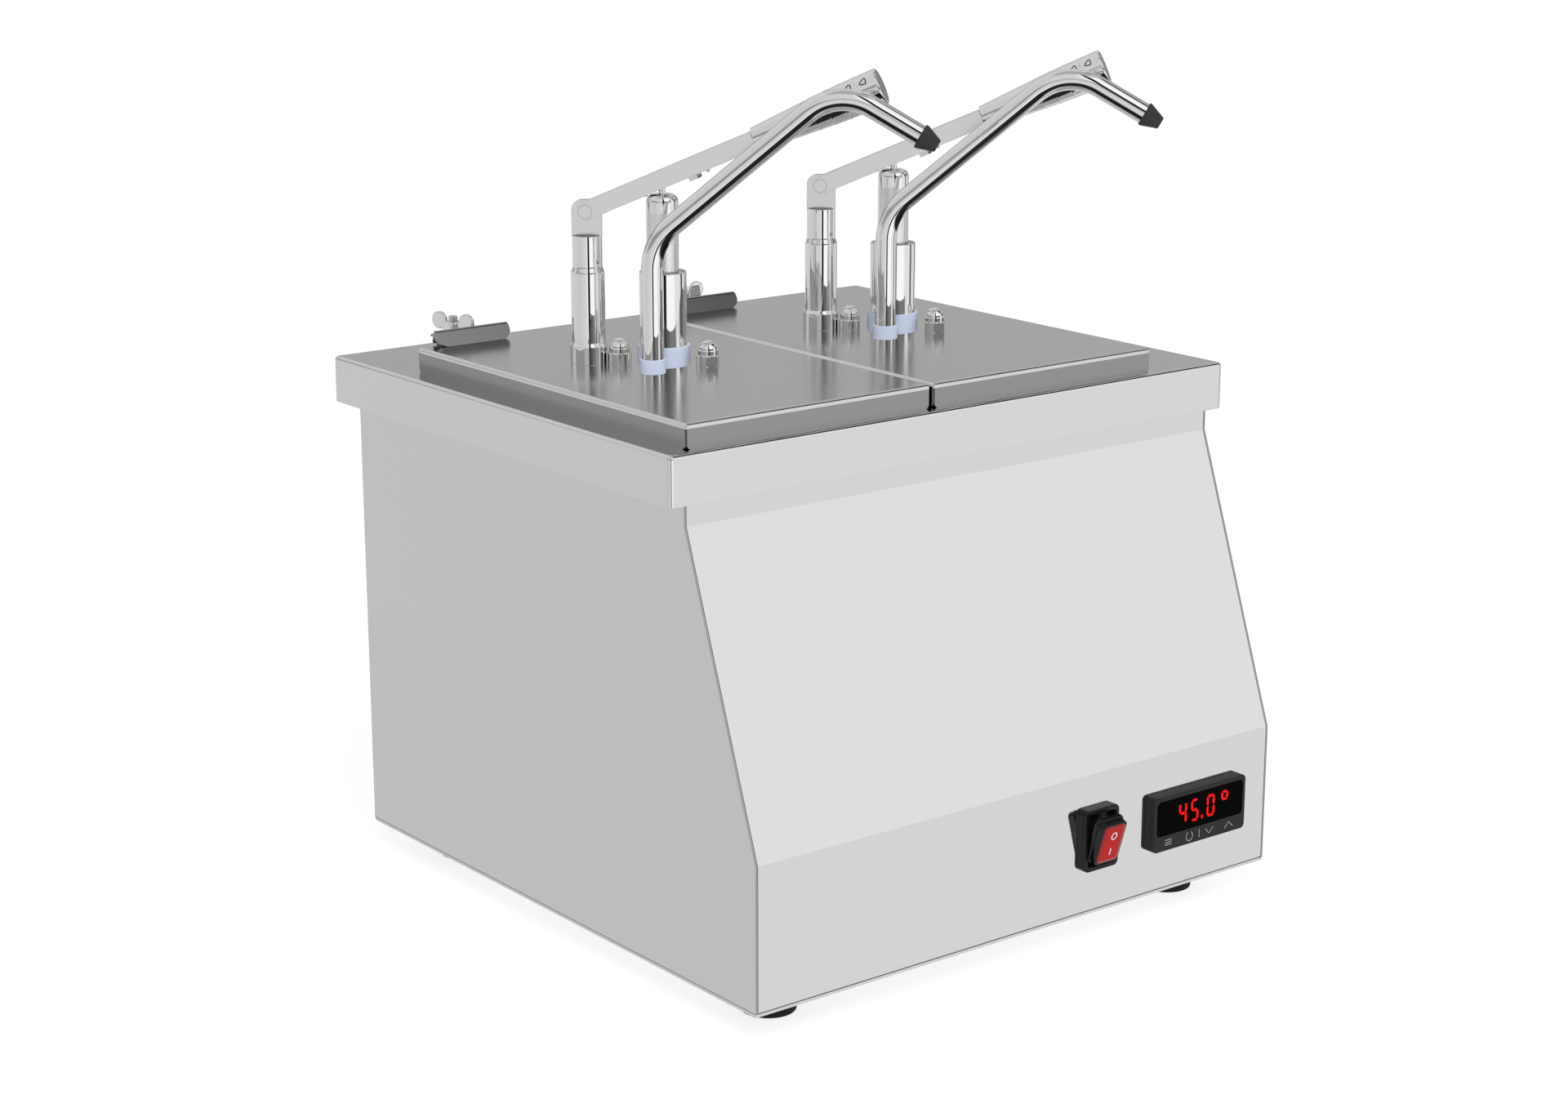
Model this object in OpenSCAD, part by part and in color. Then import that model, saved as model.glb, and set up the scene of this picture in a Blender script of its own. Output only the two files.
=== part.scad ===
// Heated sauce pump: water-bath cabinet with two pans, two lids and two lever pumps.
// Millimetres, +Z up, front towards -Y, origin at the middle of the bounding box at floor level.

/* [Node] */
// Which piece to build

/* [Casing] */
// Width of the casing
casing_w = 400; // [370:1:460]
// Depth of the casing
casing_d = 405.9; // [385:0.1:460]
// Height of the casing, without feet, up to the deck
casing_h = 277.1; // [268:0.1:320]
// Height of the upright lower part of the front
lip_h = 87.6; // [76:0.1:110]
// Height of the upright neck over the sloping front
neck_h = 12.1; // [11:0.1:40]
// How far the sloping front leans back
slope_run = 62.8; // [50:0.1:65]
// Sheet thickness of casing and deck
sheet = 1.5; // [1:0.1:2]
// Thickness of the base plate
base_t = 1.7; // [1.2:0.1:3]
// Width of the folded-in flanges at the bottom
low_flange = 14; // [12:0.5:20]
// Width of the folded-in flanges at the top
top_flange = 9; // [6:0.5:10]
// Seam between the front panel and the sides
seam = 0.3; // [0.1:0.1:0.6]
// Number of vent slots in the rear
vent_n = 9; // [3:1:11]
// Height of a vent slot
vent_h = 36; // [15:1:60]
// Width of a vent slot
vent_w = 5; // [3:0.5:8]
// Distance between vent slots
vent_pitch = 14; // [10:0.5:20]

/* [Feet and base screws] */
// Height of a foot
foot_h = 19.3; // [12:0.1:30]
// Diameter of a foot
foot_d = 30; // [24:0.5:40]
// Distance of a foot's axis from the casing's sides
foot_in_x = 42; // [34:0.5:70]
// Distance of a foot's axis from front and rear
foot_in_y = 43; // [34:0.5:70]
// Thread diameter of a foot screw
foot_screw_d = 6; // [4:0.5:8]
// Head diameter of a foot screw
foot_head_d = 11; // [9:0.5:14]
// Depth of the recess for a foot screw's head
foot_recess = 9; // [6:0.5:12]
// Distance of the base screws from the casing's corners
base_screw_far = 79; // [60:1:110]
// Distance of the base screws from the casing's edges
base_screw_in = 7.5; // [6:0.5:10]
// Head diameter of a base screw
base_head_d = 7; // [5:0.5:10]
// Head height of a base screw
base_head_h = 2.5; // [1.5:0.1:4]
// Thread diameter of a base screw
base_screw_d = 4; // [3:0.5:5]

/* [Deck] */
// Overhang of the deck over the sides
deck_side = 11.2; // [6:0.1:18]
// Overhang of the deck over the sloping front's top
deck_front = 2.7; // [0:0.1:6]
// Overhang of the deck over the rear
deck_rear = 11.5; // [6:0.1:18]
// Height of the deck slab
deck_h = 29.2; // [20:0.1:40]
// Corner radius of the deck seen from above
deck_r = 3; // [2:0.5:8]

/* [Pans and lids] */
// Distance from the casing's left side to the left lid
lid_left = 4.7; // [0:0.1:12]
// Distance from the casing's front to the lids
lid_front = 67; // [66:0.1:80]
// Distance from the right lid to the casing's right side
lid_right = 45.3; // [30:0.1:51]
// Distance from the lids to the casing's rear
lid_back = 63.9; // [50:0.1:67]
// Height of a lid
lid_h = 14.5; // [12:0.1:20]
// Sheet thickness of a lid
lid_t = 1.5; // [1:0.1:2]
// Corner radius of a lid seen from above
lid_r = 2.5; // [2:0.1:6]
// Gap between the two lids
lid_gap = 2.4; // [1:0.1:8]
// Distance of a pan's rim from its lid's left and right side
pan_in_x = 5.9; // [5.9:0.1:12]
// Distance of a pan's rim from its lid's front and rear
pan_in_y = 5; // [5:0.1:12]
// Height of a pan
pan_h = 150; // [148:1:160]
// Wall of a pan
pan_t = 1; // [0.6:0.1:1.5]
// Width of a pan's rim
pan_rim = 12.5; // [9:0.5:13]
// Corner radius of a pan's body
pan_r = 20; // [10:1:30]
// Corner radius of a pan's rim
pan_rim_r = 12; // [4:1:16]
// Gap round a pan in its cut-out
pan_gap = 3; // [1:0.5:4]

/* [Water bath] */
// Wall of the water tank
tank_t = 1.2; // [0.8:0.1:2]
// Gap between the pans' cut-outs and the tank wall
tank_gap = 4; // [2:0.5:5]
// Water under the pans
tank_water = 37; // [30:1:50]
// Diameter of the heating element
element_d = 8.5; // [6:0.5:11]
// Distance between the legs of the heating element
element_span = 110; // [80:1:150]
// Height of the element above the tank's floor
element_up = 14; // [10:0.5:20]
// Distance from the tank's front wall to the element's bend
element_front = 48; // [20:1:100]
// Across flats of the element's bushings
bushing_af = 17; // [14:1:22]
// Length of the element outside the tank
element_out = 22; // [12:1:40]
// Diameter of the temperature probe
probe_d = 6; // [4:0.5:8]
// Length of the probe inside the tank
probe_len = 60; // [30:1:90]
// Across flats of the probe's gland nut
probe_af = 14; // [12:1:20]

/* [Controller] */
// Width of the controller's face
ctl_w = 78.4; // [70:0.1:90]
// Height of the controller's face
ctl_h = 34.8; // [30:0.1:44]
// How far the controller stands out
ctl_out = 5.5; // [3:0.1:9]
// Corner radius of the controller's face
ctl_r = 3; // [1:0.5:6]
// Distance of the controller's middle from the casing's right side
ctl_right = 62.9; // [52:0.1:90]
// Height of the controller's middle
ctl_z = 45.6; // [32:0.1:56]
// Depth of the controller behind the panel
ctl_deep = 58; // [30:1:80]
// Edge between the display window and the face's sides
win_side = 2.3; // [1:0.1:6]
// Edge between the display window and the face's top
win_top = 2.7; // [1:0.1:6]
// Height of the display window
win_h = 22.3; // [15:0.1:24]
// Thickness of the display window
win_t = 1.4; // [0.8:0.1:2.5]

/* [Switch] */
// Width of the switch's bezel
sw_w = 27.5; // [26:0.1:34]
// Height of the switch's bezel
sw_h = 38.5; // [37:0.1:46]
// How far the switch's bezel stands out
sw_out = 4.5; // [2.5:0.1:5]
// Distance of the switch's middle from the casing's right side
sw_right = 144.3; // [120:0.1:260]
// Height of the switch's middle
sw_z = 47.8; // [32:0.1:60]
// Corner radius of the bezel
sw_r = 3.5; // [1:0.5:5]
// Depth of the switch's housing behind the panel
sw_deep = 28; // [16:1:40]
// Rocking axis in front of the panel
rock_axis = 9; // [8.5:0.1:11]
// Tilt of the rocker to either side
rock_tilt = 17; // [8:1:18]
// Width of the lens
lens_w = 17; // [13:0.5:18]
// Height of the lens
lens_h = 25.6; // [20:0.1:26]
// Lens front in front of the rocking axis
lens_out = 4; // [3:0.1:5]
// Thickness of the lens
lens_t = 2.2; // [1.5:0.1:2.6]
// Edge of the rubber surround round the lens
boot_edge = 1.3; // [0.8:0.1:1.8]

/* [Cable gland] */
// Thread diameter of the gland
gland_d = 16; // [12:1:20]
// Across flats of the gland's nuts
gland_af = 20; // [17:1:26]
// How far the gland stands out at the rear
gland_out = 11; // [8:0.5:11.5]
// Bore for the cord
gland_bore = 8; // [5:0.5:10]
// Distance of the gland from the casing's right side
gland_right = 70; // [40:1:120]
// Height of the gland
gland_z = 42; // [25:1:80]
// Length of the gland inside the casing
gland_in = 8; // [7:0.5:12]
// Thickness of the gland's nuts
gland_nut = 5; // [3:0.5:6]

/* [Relay board] */
// Width of the board
board_w = 80; // [70:1:100]
// Depth of the board
board_d = 60; // [58:1:80]
// Thickness of the board
board_t = 1.6; // [1:0.1:2]
// Height of the board over the base plate
board_up = 8; // [5:0.5:12]
// Diameter of the board's spacers
spacer_d = 6; // [4:0.5:8]
// Distance of the spacers from the board's edges
spacer_in = 6; // [4:0.5:8]
// Distance of the board from the casing's right side
board_right = 31.5; // [18:0.5:60]
// Distance of the board from the casing's rear
board_back = 61.5; // [18:0.5:90]
// Width of the relay
relay_w = 28; // [20:1:32]
// Depth of the relay
relay_d = 16; // [12:1:20]
// Height of the relay
relay_h = 20; // [12:1:24]
// Width of the terminal block
terminal_w = 56; // [40:1:60]
// Depth of the terminal block
terminal_d = 11; // [8:1:12]
// Height of the terminal block
terminal_h = 13; // [10:1:16]

/* [Hold-down clamps] */
// Clamp's middle, left of the lid's middle
clamp_left = 50.4; // [20:0.1:55]
// Length of the clamp's ridge
ridge_l = 53.4; // [40:0.1:60]
// Height of the ridge over the lid
ridge_h = 10.8; // [7:0.1:12]
// Distance of the ridge in front of the lid's rear edge
ridge_in = 2; // [0:0.1:4]
// Run of the clamp's front flap
flap_run = 7; // [5:0.1:10]
// Run of the clamp's rear flap
back_run = 5; // [3.5:0.1:6]
// Rounding of the flap's ends
flap_r = 8; // [4:0.5:10]
// Sheet of the clamp
clamp_t = 1.5; // [1:0.1:2]
// Gap round the stud in the clamp
clamp_hole = 0.3; // [0.2:0.05:0.6]
// Width of the clamp's tail
tail_w = 20; // [14:0.5:24]
// Width of the clamp's heel
heel_w = 12; // [8:0.5:12]
// Heel behind the stud
heel_r = 9.5; // [9:0.1:10]
// Distance of the stud behind the lid's rear edge
stud_back = 17.5; // [16.5:0.1:22]
// Diameter of the stud
stud_d = 6; // [5:0.5:6]
// Height of the stud over the lid's top
stud_up = 13; // [11:0.5:20]
// Thickness of a wing
wing_t = 2.7; // [2:0.1:4]
// Diameter of a wing
wing_d = 11; // [8:0.1:11.4]
// Distance of a wing's middle from the nut's axis
wing_off = 10.25; // [9:0.05:10.3]
// Height of a wing's middle over the lid's top
wing_z = 9.6; // [8:0.1:11]
// Hub diameter of the wing nut
hub_d = 11; // [9:0.1:12]
// Height of the wing nut's hub
hub_h = 8; // [6:0.5:9]
// Turn of the left wing nut from the X axis
wing_turn_1 = -69; // [-90:1:90]
// Turn of the right wing nut from the X axis
wing_turn_2 = 0; // [-90:1:90]

/* [Pump on the lid] */
// Pump axis to the right of its lid's middle
pump_dx = 1.4; // [-8:0.1:8]
// Pump axis behind its lid's middle
pump_dy = 4.5; // [-8:0.1:10]
// Direction of the lever seen from above
pump_turn = -46; // [-60:1:-30]
// Outer diameter of the barrel
barrel_d = 27.9; // [26:0.1:30]
// Height of the barrel over the lid
barrel_up = 55.5; // [50:0.1:56]
// Diameter of the barrel's waist
waist_d = 27; // [25.8:0.1:28]
// Wall of the barrel
barrel_t = 1.6; // [1.2:0.1:2]
// Guide bush below the barrel's rim
guide_in = 2; // [1:0.1:4]
// Length of the guide bush
guide_l = 6; // [4:0.5:10]
// Length of the barrel below the lid's top
barrel_down = 142; // [130:0.5:142]
// Height of the large seal ring
ring_h = 12.2; // [8:0.1:14]
// Diameter of the large seal ring
ring_d = 31.5; // [30.5:0.1:34]
// Height of the seal ring round the spout tube
ring2_h = 8.6; // [5:0.1:12]
// Diameter of the seal ring round the spout tube
ring2_d = 15.3; // [14:0.1:18]

/* [Plunger] */
// Diameter of the plunger
plunger_d = 18.9; // [16:0.1:20]
// Top of the plunger over the lid
plunger_up = 101; // [100:0.1:101.2]
// Rounding of the plunger's top
plunger_r = 4.5; // [2:0.1:6]
// Bottom of the piston below the lid's top
piston_down = 52; // [46:0.5:56]
// Length of the piston
piston_l = 12; // [9:0.5:16]
// Diameter of the rod on the plunger
rod_d = 4; // [3:0.1:4.2]
// Length of the rod
rod_l = 7.5; // [6:0.1:8]
// Thickness of the piston seals
seal_t = 1.8; // [1.2:0.1:2.4]
// Running clearance of pins, plunger and piston
fit = 0.05; // [0.03:0.01:0.09]

/* [Return spring and foot valve] */
// Wire of the return spring
wire_d = 1.6; // [1:0.1:1.8]
// Coils of the return spring
coils = 9; // [5:1:11]
// Diameter of the foot valve's chamber
chamber_d = 19; // [17:0.5:20]
// Depth of the foot valve's chamber
chamber_l = 6; // [5:0.5:8]
// Floor of the foot valve
valve_floor = 7; // [5:0.5:8]
// How deep the barrel stands in the foot valve
socket_l = 6; // [4:0.5:8]
// Wall round the barrel in the foot valve
valve_wall = 4; // [3:0.5:6]
// Diameter of the inlet hole
inlet_d = 10; // [7:0.5:10.5]
// Diameter of the inlet ball
ball_d = 12; // [11:0.5:13]
// Diameter of the passage to the spout tube
passage_d = 5; // [3:0.5:5.5]

/* [Spout] */
// Outer diameter of the spout tube
tube_d = 12.6; // [11:0.1:14]
// Wall of the spout tube
tube_t = 1.3; // [0.8:0.1:1.6]
// Spout tube beside the barrel
tube_side = 27.5; // [25:0.1:30]
// Spout tube ahead of the barrel's axis
tube_u = -1.5; // [-6:0.1:6]
// Height of the lower bend's corner
bend1_z = 76.4; // [70:0.1:90]
// Reach of the upper bend's corner
bend2_u = 106.5; // [95:0.1:112]
// Height of the upper bend's corner
bend2_z = 167.2; // [150:0.1:175]
// Bend radius of the spout tube
bend_r = 33; // [25:0.5:36]
// Slope of the spout's end
spout_drop = 29.7; // [20:0.1:40]
// Reach of the spout tube's end
spout_u = 153.1; // [148:0.1:156]
// Length of the nozzle
nozzle_l = 11.6; // [8:0.1:14]
// Large diameter of the nozzle
nozzle_d1 = 14.5; // [14:0.1:16]
// Small diameter of the nozzle
nozzle_d2 = 7.3; // [7:0.1:10]
// Bore of the nozzle
nozzle_bore = 4.6; // [3:0.1:5]
// Length of the nozzle's spigot in the tube
spigot_l = 8; // [5:0.5:12]

/* [Post and lever] */
// Distance of the post behind the barrel's axis
post_u = 45; // [44:0.1:50]
// Diameter of the post's foot
post_foot_d = 22.3; // [20:0.1:22.8]
// Height of the post's foot
post_foot_h = 10.5; // [6:0.1:20]
// Diameter of the post's middle
post_mid_d = 19.9; // [18:0.1:20]
// Height of the post's middle
post_mid_h = 54.6; // [40:0.1:60]
// Diameter of the post's upper part
post_top_d = 17.6; // [14:0.1:17.8]
// Height of the post's upper part
post_top_h = 75.8; // [74:0.1:76]
// Height of a chamfer between the post's steps
post_step = 2; // [0.5:0.1:4]
// Thickness of the tongue
tongue_t = 4.4; // [3:0.1:5]
// Height of the pivot over the lid
pin_z = 90.3; // [88:0.1:92]
// Material of the tongue over the pivot
tongue_over = 6.5; // [5.5:0.1:6.8]
// Rounding of the tongue's corners
tongue_r = 6; // [4:0.1:8]
// Diameter of the pivot pin
pin_d = 8; // [5:0.1:8]
// Height of the lever bar
lever_h = 10.5; // [9.5:0.1:10.6]
// Width of the lever bar
lever_w = 11; // [10:0.1:14]
// Rise of the lever at rest
lever_rise = 23.4; // [20:0.1:26]
// Side gap between tongue and fork
fork_gap = 0.25; // [0.15:0.05:0.5]
// Side gap between rod and its slot
slot_gap = 0.4; // [0.3:0.05:0.6]
// Distance from the pivot to the grip
grip_at = 108.6; // [104:0.1:115]
// Length of the grip
grip_l = 80.4; // [65:0.1:90]
// Diameter of the grip's start
grip_d1 = 14.4; // [14:0.1:18]
// Diameter of the grip at two thirds
grip_d2 = 21; // [18:0.1:24]
// Diameter of the grip's end
grip_d3 = 22; // [18:0.1:25]
// Raised rings on the grip
grip_rings = 9; // [3:1:9]
// Distance between the raised rings
grip_pitch = 7.5; // [5:0.1:7.6]
// Height of a raised ring
grip_bump = 0.35; // [0.1:0.05:0.6]
// Diameter of the tang inside the grip
tang_d = 7; // [5:0.1:9]

/* [Fasteners] */
// Distance of the domed nuts from the pump's axis
nut_u = 26.5; // [26:0.1:27]
// Across flats of a domed nut
nut_af = 13; // [11:0.5:13]
// Height of a domed nut's hexagon
nut_hex = 6.5; // [5:0.1:8]
// Height of a domed nut
nut_h = 15; // [13:0.1:16]
// Dome diameter of a domed nut
dome_d = 12.5; // [10:0.1:12.6]
// Thread of a domed nut
nut_thread = 8; // [5:0.5:8]
// Thickness of the flange under the lid
flange_t = 4; // [2.5:0.1:6]
// Margin of the flange round its holes
flange_edge = 5; // [3:0.5:7]

/* [Hidden] */
$fn = 96;
eps = 0.01;

// Levels over the casing's bottom
slope_top = casing_h - neck_h;
deck_z0 = casing_h;
deck_z = deck_z0 + deck_h;
lid_z = deck_z + lid_h;
// Deck outline
deck_x0 = -deck_side;
deck_x1 = casing_w + deck_side;
deck_y0 = slope_run - deck_front;
deck_y1 = casing_d + deck_rear;
// Lids
lid_w = (casing_w - lid_left - lid_right - lid_gap) / 2;
lid_d = casing_d - lid_front - lid_back;
lid_pitch = lid_w + lid_gap;
lid_cx = [lid_left + lid_w / 2, lid_left + lid_w / 2 + lid_pitch];
lid_cy = lid_front + lid_d / 2;
lid_rear = lid_front + lid_d;
// Pans
pan_w = lid_w - 2 * pan_in_x;
pan_d = lid_d - 2 * pan_in_y;
pan_bw = pan_w - 2 * pan_rim;
pan_bd = pan_d - 2 * pan_rim;
pan_z0 = deck_z + pan_t - pan_h;
cut_w = pan_bw + 2 * pan_gap;
cut_d = pan_bd + 2 * pan_gap;
// Water tank
tank_x0 = lid_cx[0] - cut_w / 2 - tank_gap - tank_t;
tank_x1 = lid_cx[1] + cut_w / 2 + tank_gap + tank_t;
tank_y0 = lid_cy - cut_d / 2 - tank_gap - tank_t;
tank_y1 = lid_cy + cut_d / 2 + tank_gap + tank_t;
tank_floor = pan_z0 - tank_water;
tank_z0 = tank_floor - tank_t;
element_z = tank_floor + element_up;
// Controller and switch
ctl_x = casing_w - ctl_right;
sw_x = casing_w - sw_right;
panel_cut = 0.15;
win_w = ctl_w - 2 * win_side;
win_z = ctl_z + ctl_h / 2 - win_top - win_h / 2;
ctl_body_w = ctl_w - 6;
ctl_body_h = ctl_h - 5;
boot_w = lens_w + 2 * boot_edge;
boot_h = lens_h + 2 * boot_edge;
boot_step = 1;
boot_back = 4;
pocket_w = boot_w + 2 * boot_step + 1;
pocket_h = boot_h + 2 * boot_step + 2.6;
pocket_in = 2.5;
sw_body_w = pocket_w + 1.6;
sw_body_h = pocket_h + 2;
reach = rock_axis + lens_out * cos(rock_tilt) + lens_h / 2 * sin(rock_tilt);
// The frame's origin over the casing's front left bottom corner
origin = [casing_w / 2, (deck_y1 - reach) / 2, -foot_h];
// Clamps
stud_y = lid_rear + stud_back;
clamp_lift = 0.05;
ridge_y = lid_rear - ridge_in;
heel_low = 0.05;
// Pump, local X along the lever, Z over the lid's top
barrel_r = barrel_d / 2;
bore_r = barrel_r - barrel_t;
guide_r = plunger_d / 2 + fit;
piston_r = bore_r - fit;
valve_top = -barrel_down + socket_l;
valve_mid = -barrel_down - chamber_l;
valve_low = valve_mid - valve_floor;
ball_r = ball_d / 2;
ball_z = valve_mid + sqrt(pow(ball_r, 2) - pow(inlet_d / 2, 2)) + fit;
spring_r = bore_r - wire_d / 2 - 0.6;
tube_seat = 0.8;
post_spigot = 8;
grip_two = 0.65;
grip_edge = 1.5;
tang_l = 60;
nut_room = 9;
// Spout path in its own upright plane, [along the lever, height]
bend1 = [tube_u, bend1_z];
bend2 = [bend2_u, bend2_z];
rise = atan2(bend2[1] - bend1[1], bend2[0] - bend1[0]);
run1 = bend_r * tan((90 - rise) / 2);
run2 = bend_r * tan((rise + spout_drop) / 2);
spout_end = [spout_u, bend2[1] - (spout_u - bend2[0]) * tan(spout_drop)];
passage_z = valve_mid + chamber_l / 2;
tube_low = passage_z + passage_d / 2 + tube_seat;
// Lever
fork_in = (post_top_d / 2 + lever_h / 2 * sin(lever_rise)) / cos(lever_rise) + 0.7;
rod_top = plunger_up + rod_l;
slot_near = post_u - rod_d / 2 - slot_gap - 1;
slot_far = post_u / cos(lever_rise) + rod_d / 2 + slot_gap;
slot_up = 1.6;
lever_nut_at = 67.6;
lever_pin_at = 76.1;
lever_nub_at = 36.2;
lever_nut_af = 7;
lever_nut_h = 2.5;
lever_screw_d = 4;

// Strip of sheet along a bent line, thickness t to its left
function left_of(a, b) = let (d = b - a) [-d[1], d[0]] / norm(d);
function bend_at(p, t, i) =
    i == 0 ? p[0] + t * left_of(p[0], p[1])
    : i == len(p) - 1 ? p[i] + t * left_of(p[i - 1], p[i])
    : let (m = left_of(p[i - 1], p[i]), n = left_of(p[i], p[i + 1])) p[i] + t * (m + n) / (1 + m * n);
function strip(p, t) = concat(p, [for (i = [len(p) - 1:-1:0]) bend_at(p, t, i)]);

// Moves the casing's corner frame into the part's frame
module placed() {
    translate([-origin[0], -origin[1], -origin[2]])
        children();
}

// Plate with rounded corners between two corners
module plate(x0, y0, x1, y1, r, h) {
    translate([x0 + r, y0, 0])
        cube([x1 - x0 - 2 * r, y1 - y0, h]);
    translate([x0, y0 + r, 0])
        cube([x1 - x0, y1 - y0 - 2 * r, h]);
    for (x = [x0 + r, x1 - r], y = [y0 + r, y1 - r])
        translate([x, y, 0])
            cylinder(r = r, h = h);
}

module mid_plate(w, d, r, h) {
    plate(-w / 2, -d / 2, w / 2, d / 2, r, h);
}

// Plate standing upright, its face towards the front
module face_plate(w, h, r, t) {
    rotate([90, 0, 0])
        mid_plate(w, h, r, t);
}

module hexagon(af, h) {
    cylinder(r = af / sqrt(3), h = h, $fn = 6);
}

// Profile in Y and Z drawn out along X
module along_x(x0, x1) {
    translate([x0, 0, 0])
        rotate([90, 0, 90])
            linear_extrude(height = x1 - x0)
                children();
}

// Casing
module side_wall(x0) {
    along_x(x0, x0 + sheet)
        polygon([[0, base_t], [0, lip_h], [slope_run, slope_top], [slope_run, casing_h],
            [casing_d, casing_h], [casing_d, base_t]]);
}

module vents() {
    for (i = [0:vent_n - 1])
        translate([casing_w / 2 - 60 + (i - (vent_n - 1) / 2) * vent_pitch - vent_w / 2,
            casing_d - sheet - eps, lip_h - vent_h / 2])
            cube([vent_w, sheet + 2 * eps, vent_h]);
}

module casing_shell() {
    color("silver")
        placed()
            difference() {
                union() {
                    side_wall(0);
                    side_wall(casing_w - sheet);
                    translate([0, casing_d - sheet, base_t])
                        cube([casing_w, sheet, casing_h - base_t]);
                    for (x = [0, casing_w - low_flange])
                        translate([x, sheet + seam, base_t])
                            cube([low_flange, casing_d - sheet - seam, sheet]);
                    translate([0, casing_d - low_flange, base_t])
                        cube([casing_w, low_flange, sheet]);
                    for (x = [0, casing_w - top_flange])
                        translate([x, slope_run + sheet + seam, casing_h - sheet])
                            cube([top_flange, casing_d - slope_run - sheet - seam, sheet]);
                }
                base_holes(base_screw_d);
                vents();
                translate([casing_w - gland_right, casing_d - sheet - eps, gland_z])
                    rotate([-90, 0, 0])
                        cylinder(d = gland_d, h = sheet + 2 * eps);
            }
}

module front_panel() {
    color("silver")
        placed()
            difference() {
                union() {
                    along_x(sheet + seam, casing_w - sheet - seam)
                        polygon(strip([[slope_run, casing_h], [slope_run, slope_top], [0, lip_h],
                            [0, base_t]], sheet));
                    translate([low_flange + seam, 0, base_t])
                        cube([casing_w - 2 * (low_flange + seam), low_flange, sheet]);
                }
                base_holes(base_screw_d);
                translate([ctl_x, sheet + eps, ctl_z])
                    face_plate(ctl_body_w, ctl_body_h, 1, sheet + 2 * eps);
                translate([sw_x, sheet + eps, sw_z])
                    face_plate(sw_body_w, sw_body_h, 1, sheet + 2 * eps);
            }
}

// Places of the base screws
module at_base_screws() {
    for (x = [base_screw_far, casing_w - base_screw_far], y = [base_screw_in, casing_d - base_screw_in])
        translate([x, y, 0])
            children();
    for (x = [base_screw_in, casing_w - base_screw_in], y = [base_screw_far, casing_d - base_screw_far])
        translate([x, y, 0])
            children();
}

module base_holes(d) {
    at_base_screws()
        translate([0, 0, -eps])
            cylinder(d = d, h = base_t + sheet + 2 * eps);
}

module at_feet() {
    for (x = [foot_in_x, casing_w - foot_in_x], y = [foot_in_y, casing_d - foot_in_y])
        translate([x, y, 0])
            children();
}

module base_plate() {
    color("silver")
        placed()
            difference() {
                plate(0, 0, casing_w, casing_d, 1, base_t);
                base_holes(base_screw_d);
                at_feet()
                    translate([0, 0, -eps])
                        cylinder(d = foot_screw_d, h = base_t + 2 * eps);
            }
}

module base_screws() {
    color("gainsboro")
        placed()
            at_base_screws() {
                cylinder(d = base_screw_d, h = base_t + sheet + 2);
                translate([0, 0, -base_head_h / 2])
                    cylinder(d = base_head_d, h = base_head_h / 2);
                translate([0, 0, -base_head_h])
                    cylinder(d1 = base_head_d * 0.6, d2 = base_head_d, h = base_head_h / 2);
            }
}

module feet() {
    color("dimgray")
        placed()
            at_feet()
                rotate_extrude()
                    polygon([[foot_screw_d / 2, 0], [foot_d / 2 - 1, 0], [foot_d / 2, -1],
                        [foot_d / 2, -foot_h + 2], [foot_d / 2 - 2, -foot_h], [foot_head_d / 2 + 1, -foot_h],
                        [foot_head_d / 2 + 1, -foot_h + foot_recess], [foot_screw_d / 2, -foot_h + foot_recess]]);
}

module foot_screws() {
    color("gainsboro")
        placed()
            at_feet() {
                translate([0, 0, -foot_h + foot_recess])
                    cylinder(d = foot_screw_d, h = foot_h - foot_recess + base_t + 6);
                translate([0, 0, -foot_h + foot_recess - 3])
                    cylinder(d = foot_head_d, h = 3);
                translate([0, 0, base_t])
                    hexagon(foot_head_d, 4);
            }
}

// Deck: an inverted tray with an inward edge that rests on the casing
module deck() {
    color("silver")
        placed()
            difference() {
                translate([0, 0, deck_z0])
                    plate(deck_x0, deck_y0, deck_x1, deck_y1, deck_r, deck_h);
                translate([0, 0, deck_z0 + sheet])
                    plate(deck_x0 + sheet, deck_y0 + sheet, deck_x1 - sheet, deck_y1 - sheet,
                        deck_r - sheet, deck_h - 2 * sheet);
                translate([top_flange, slope_run + sheet + 1, deck_z0 - eps])
                    cube([casing_w - 2 * top_flange, casing_d - slope_run - 2 * sheet - 2, sheet + 2 * eps]);
                for (x = lid_cx)
                    translate([x, lid_cy, deck_z - sheet - eps])
                        mid_plate(cut_w, cut_d, pan_r + pan_gap, sheet + 2 * eps);
            }
}

module clamp_studs() {
    color("gainsboro")
        placed()
            for (x = lid_cx)
                translate([x - clamp_left, stud_y, deck_z]) {
                    cylinder(d = stud_d, h = lid_h + stud_up);
                    cylinder(d1 = stud_d + 4, d2 = stud_d, h = 2);
                }
}

// Water bath
module water_tank() {
    color("lightgray")
        placed()
            difference() {
                translate([0, 0, tank_z0])
                    plate(tank_x0, tank_y0, tank_x1, tank_y1, pan_r, deck_z - sheet - tank_z0);
                translate([0, 0, tank_floor])
                    plate(tank_x0 + tank_t, tank_y0 + tank_t, tank_x1 - tank_t, tank_y1 - tank_t,
                        pan_r - tank_t, deck_z - tank_floor);
                at_element_legs()
                    cylinder(d = element_d, h = 3 * tank_t, center = true);
                at_probe()
                    cylinder(d = probe_d, h = 3 * tank_t, center = true);
            }
}

// Where the element's legs pass the tank's rear wall, Z towards the rear
module at_element_legs() {
    for (s = [-1, 1])
        translate([(tank_x0 + tank_x1) / 2 + s * element_span / 2, tank_y1 - tank_t / 2, element_z])
            rotate([-90, 0, 0])
                children();
}

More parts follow.
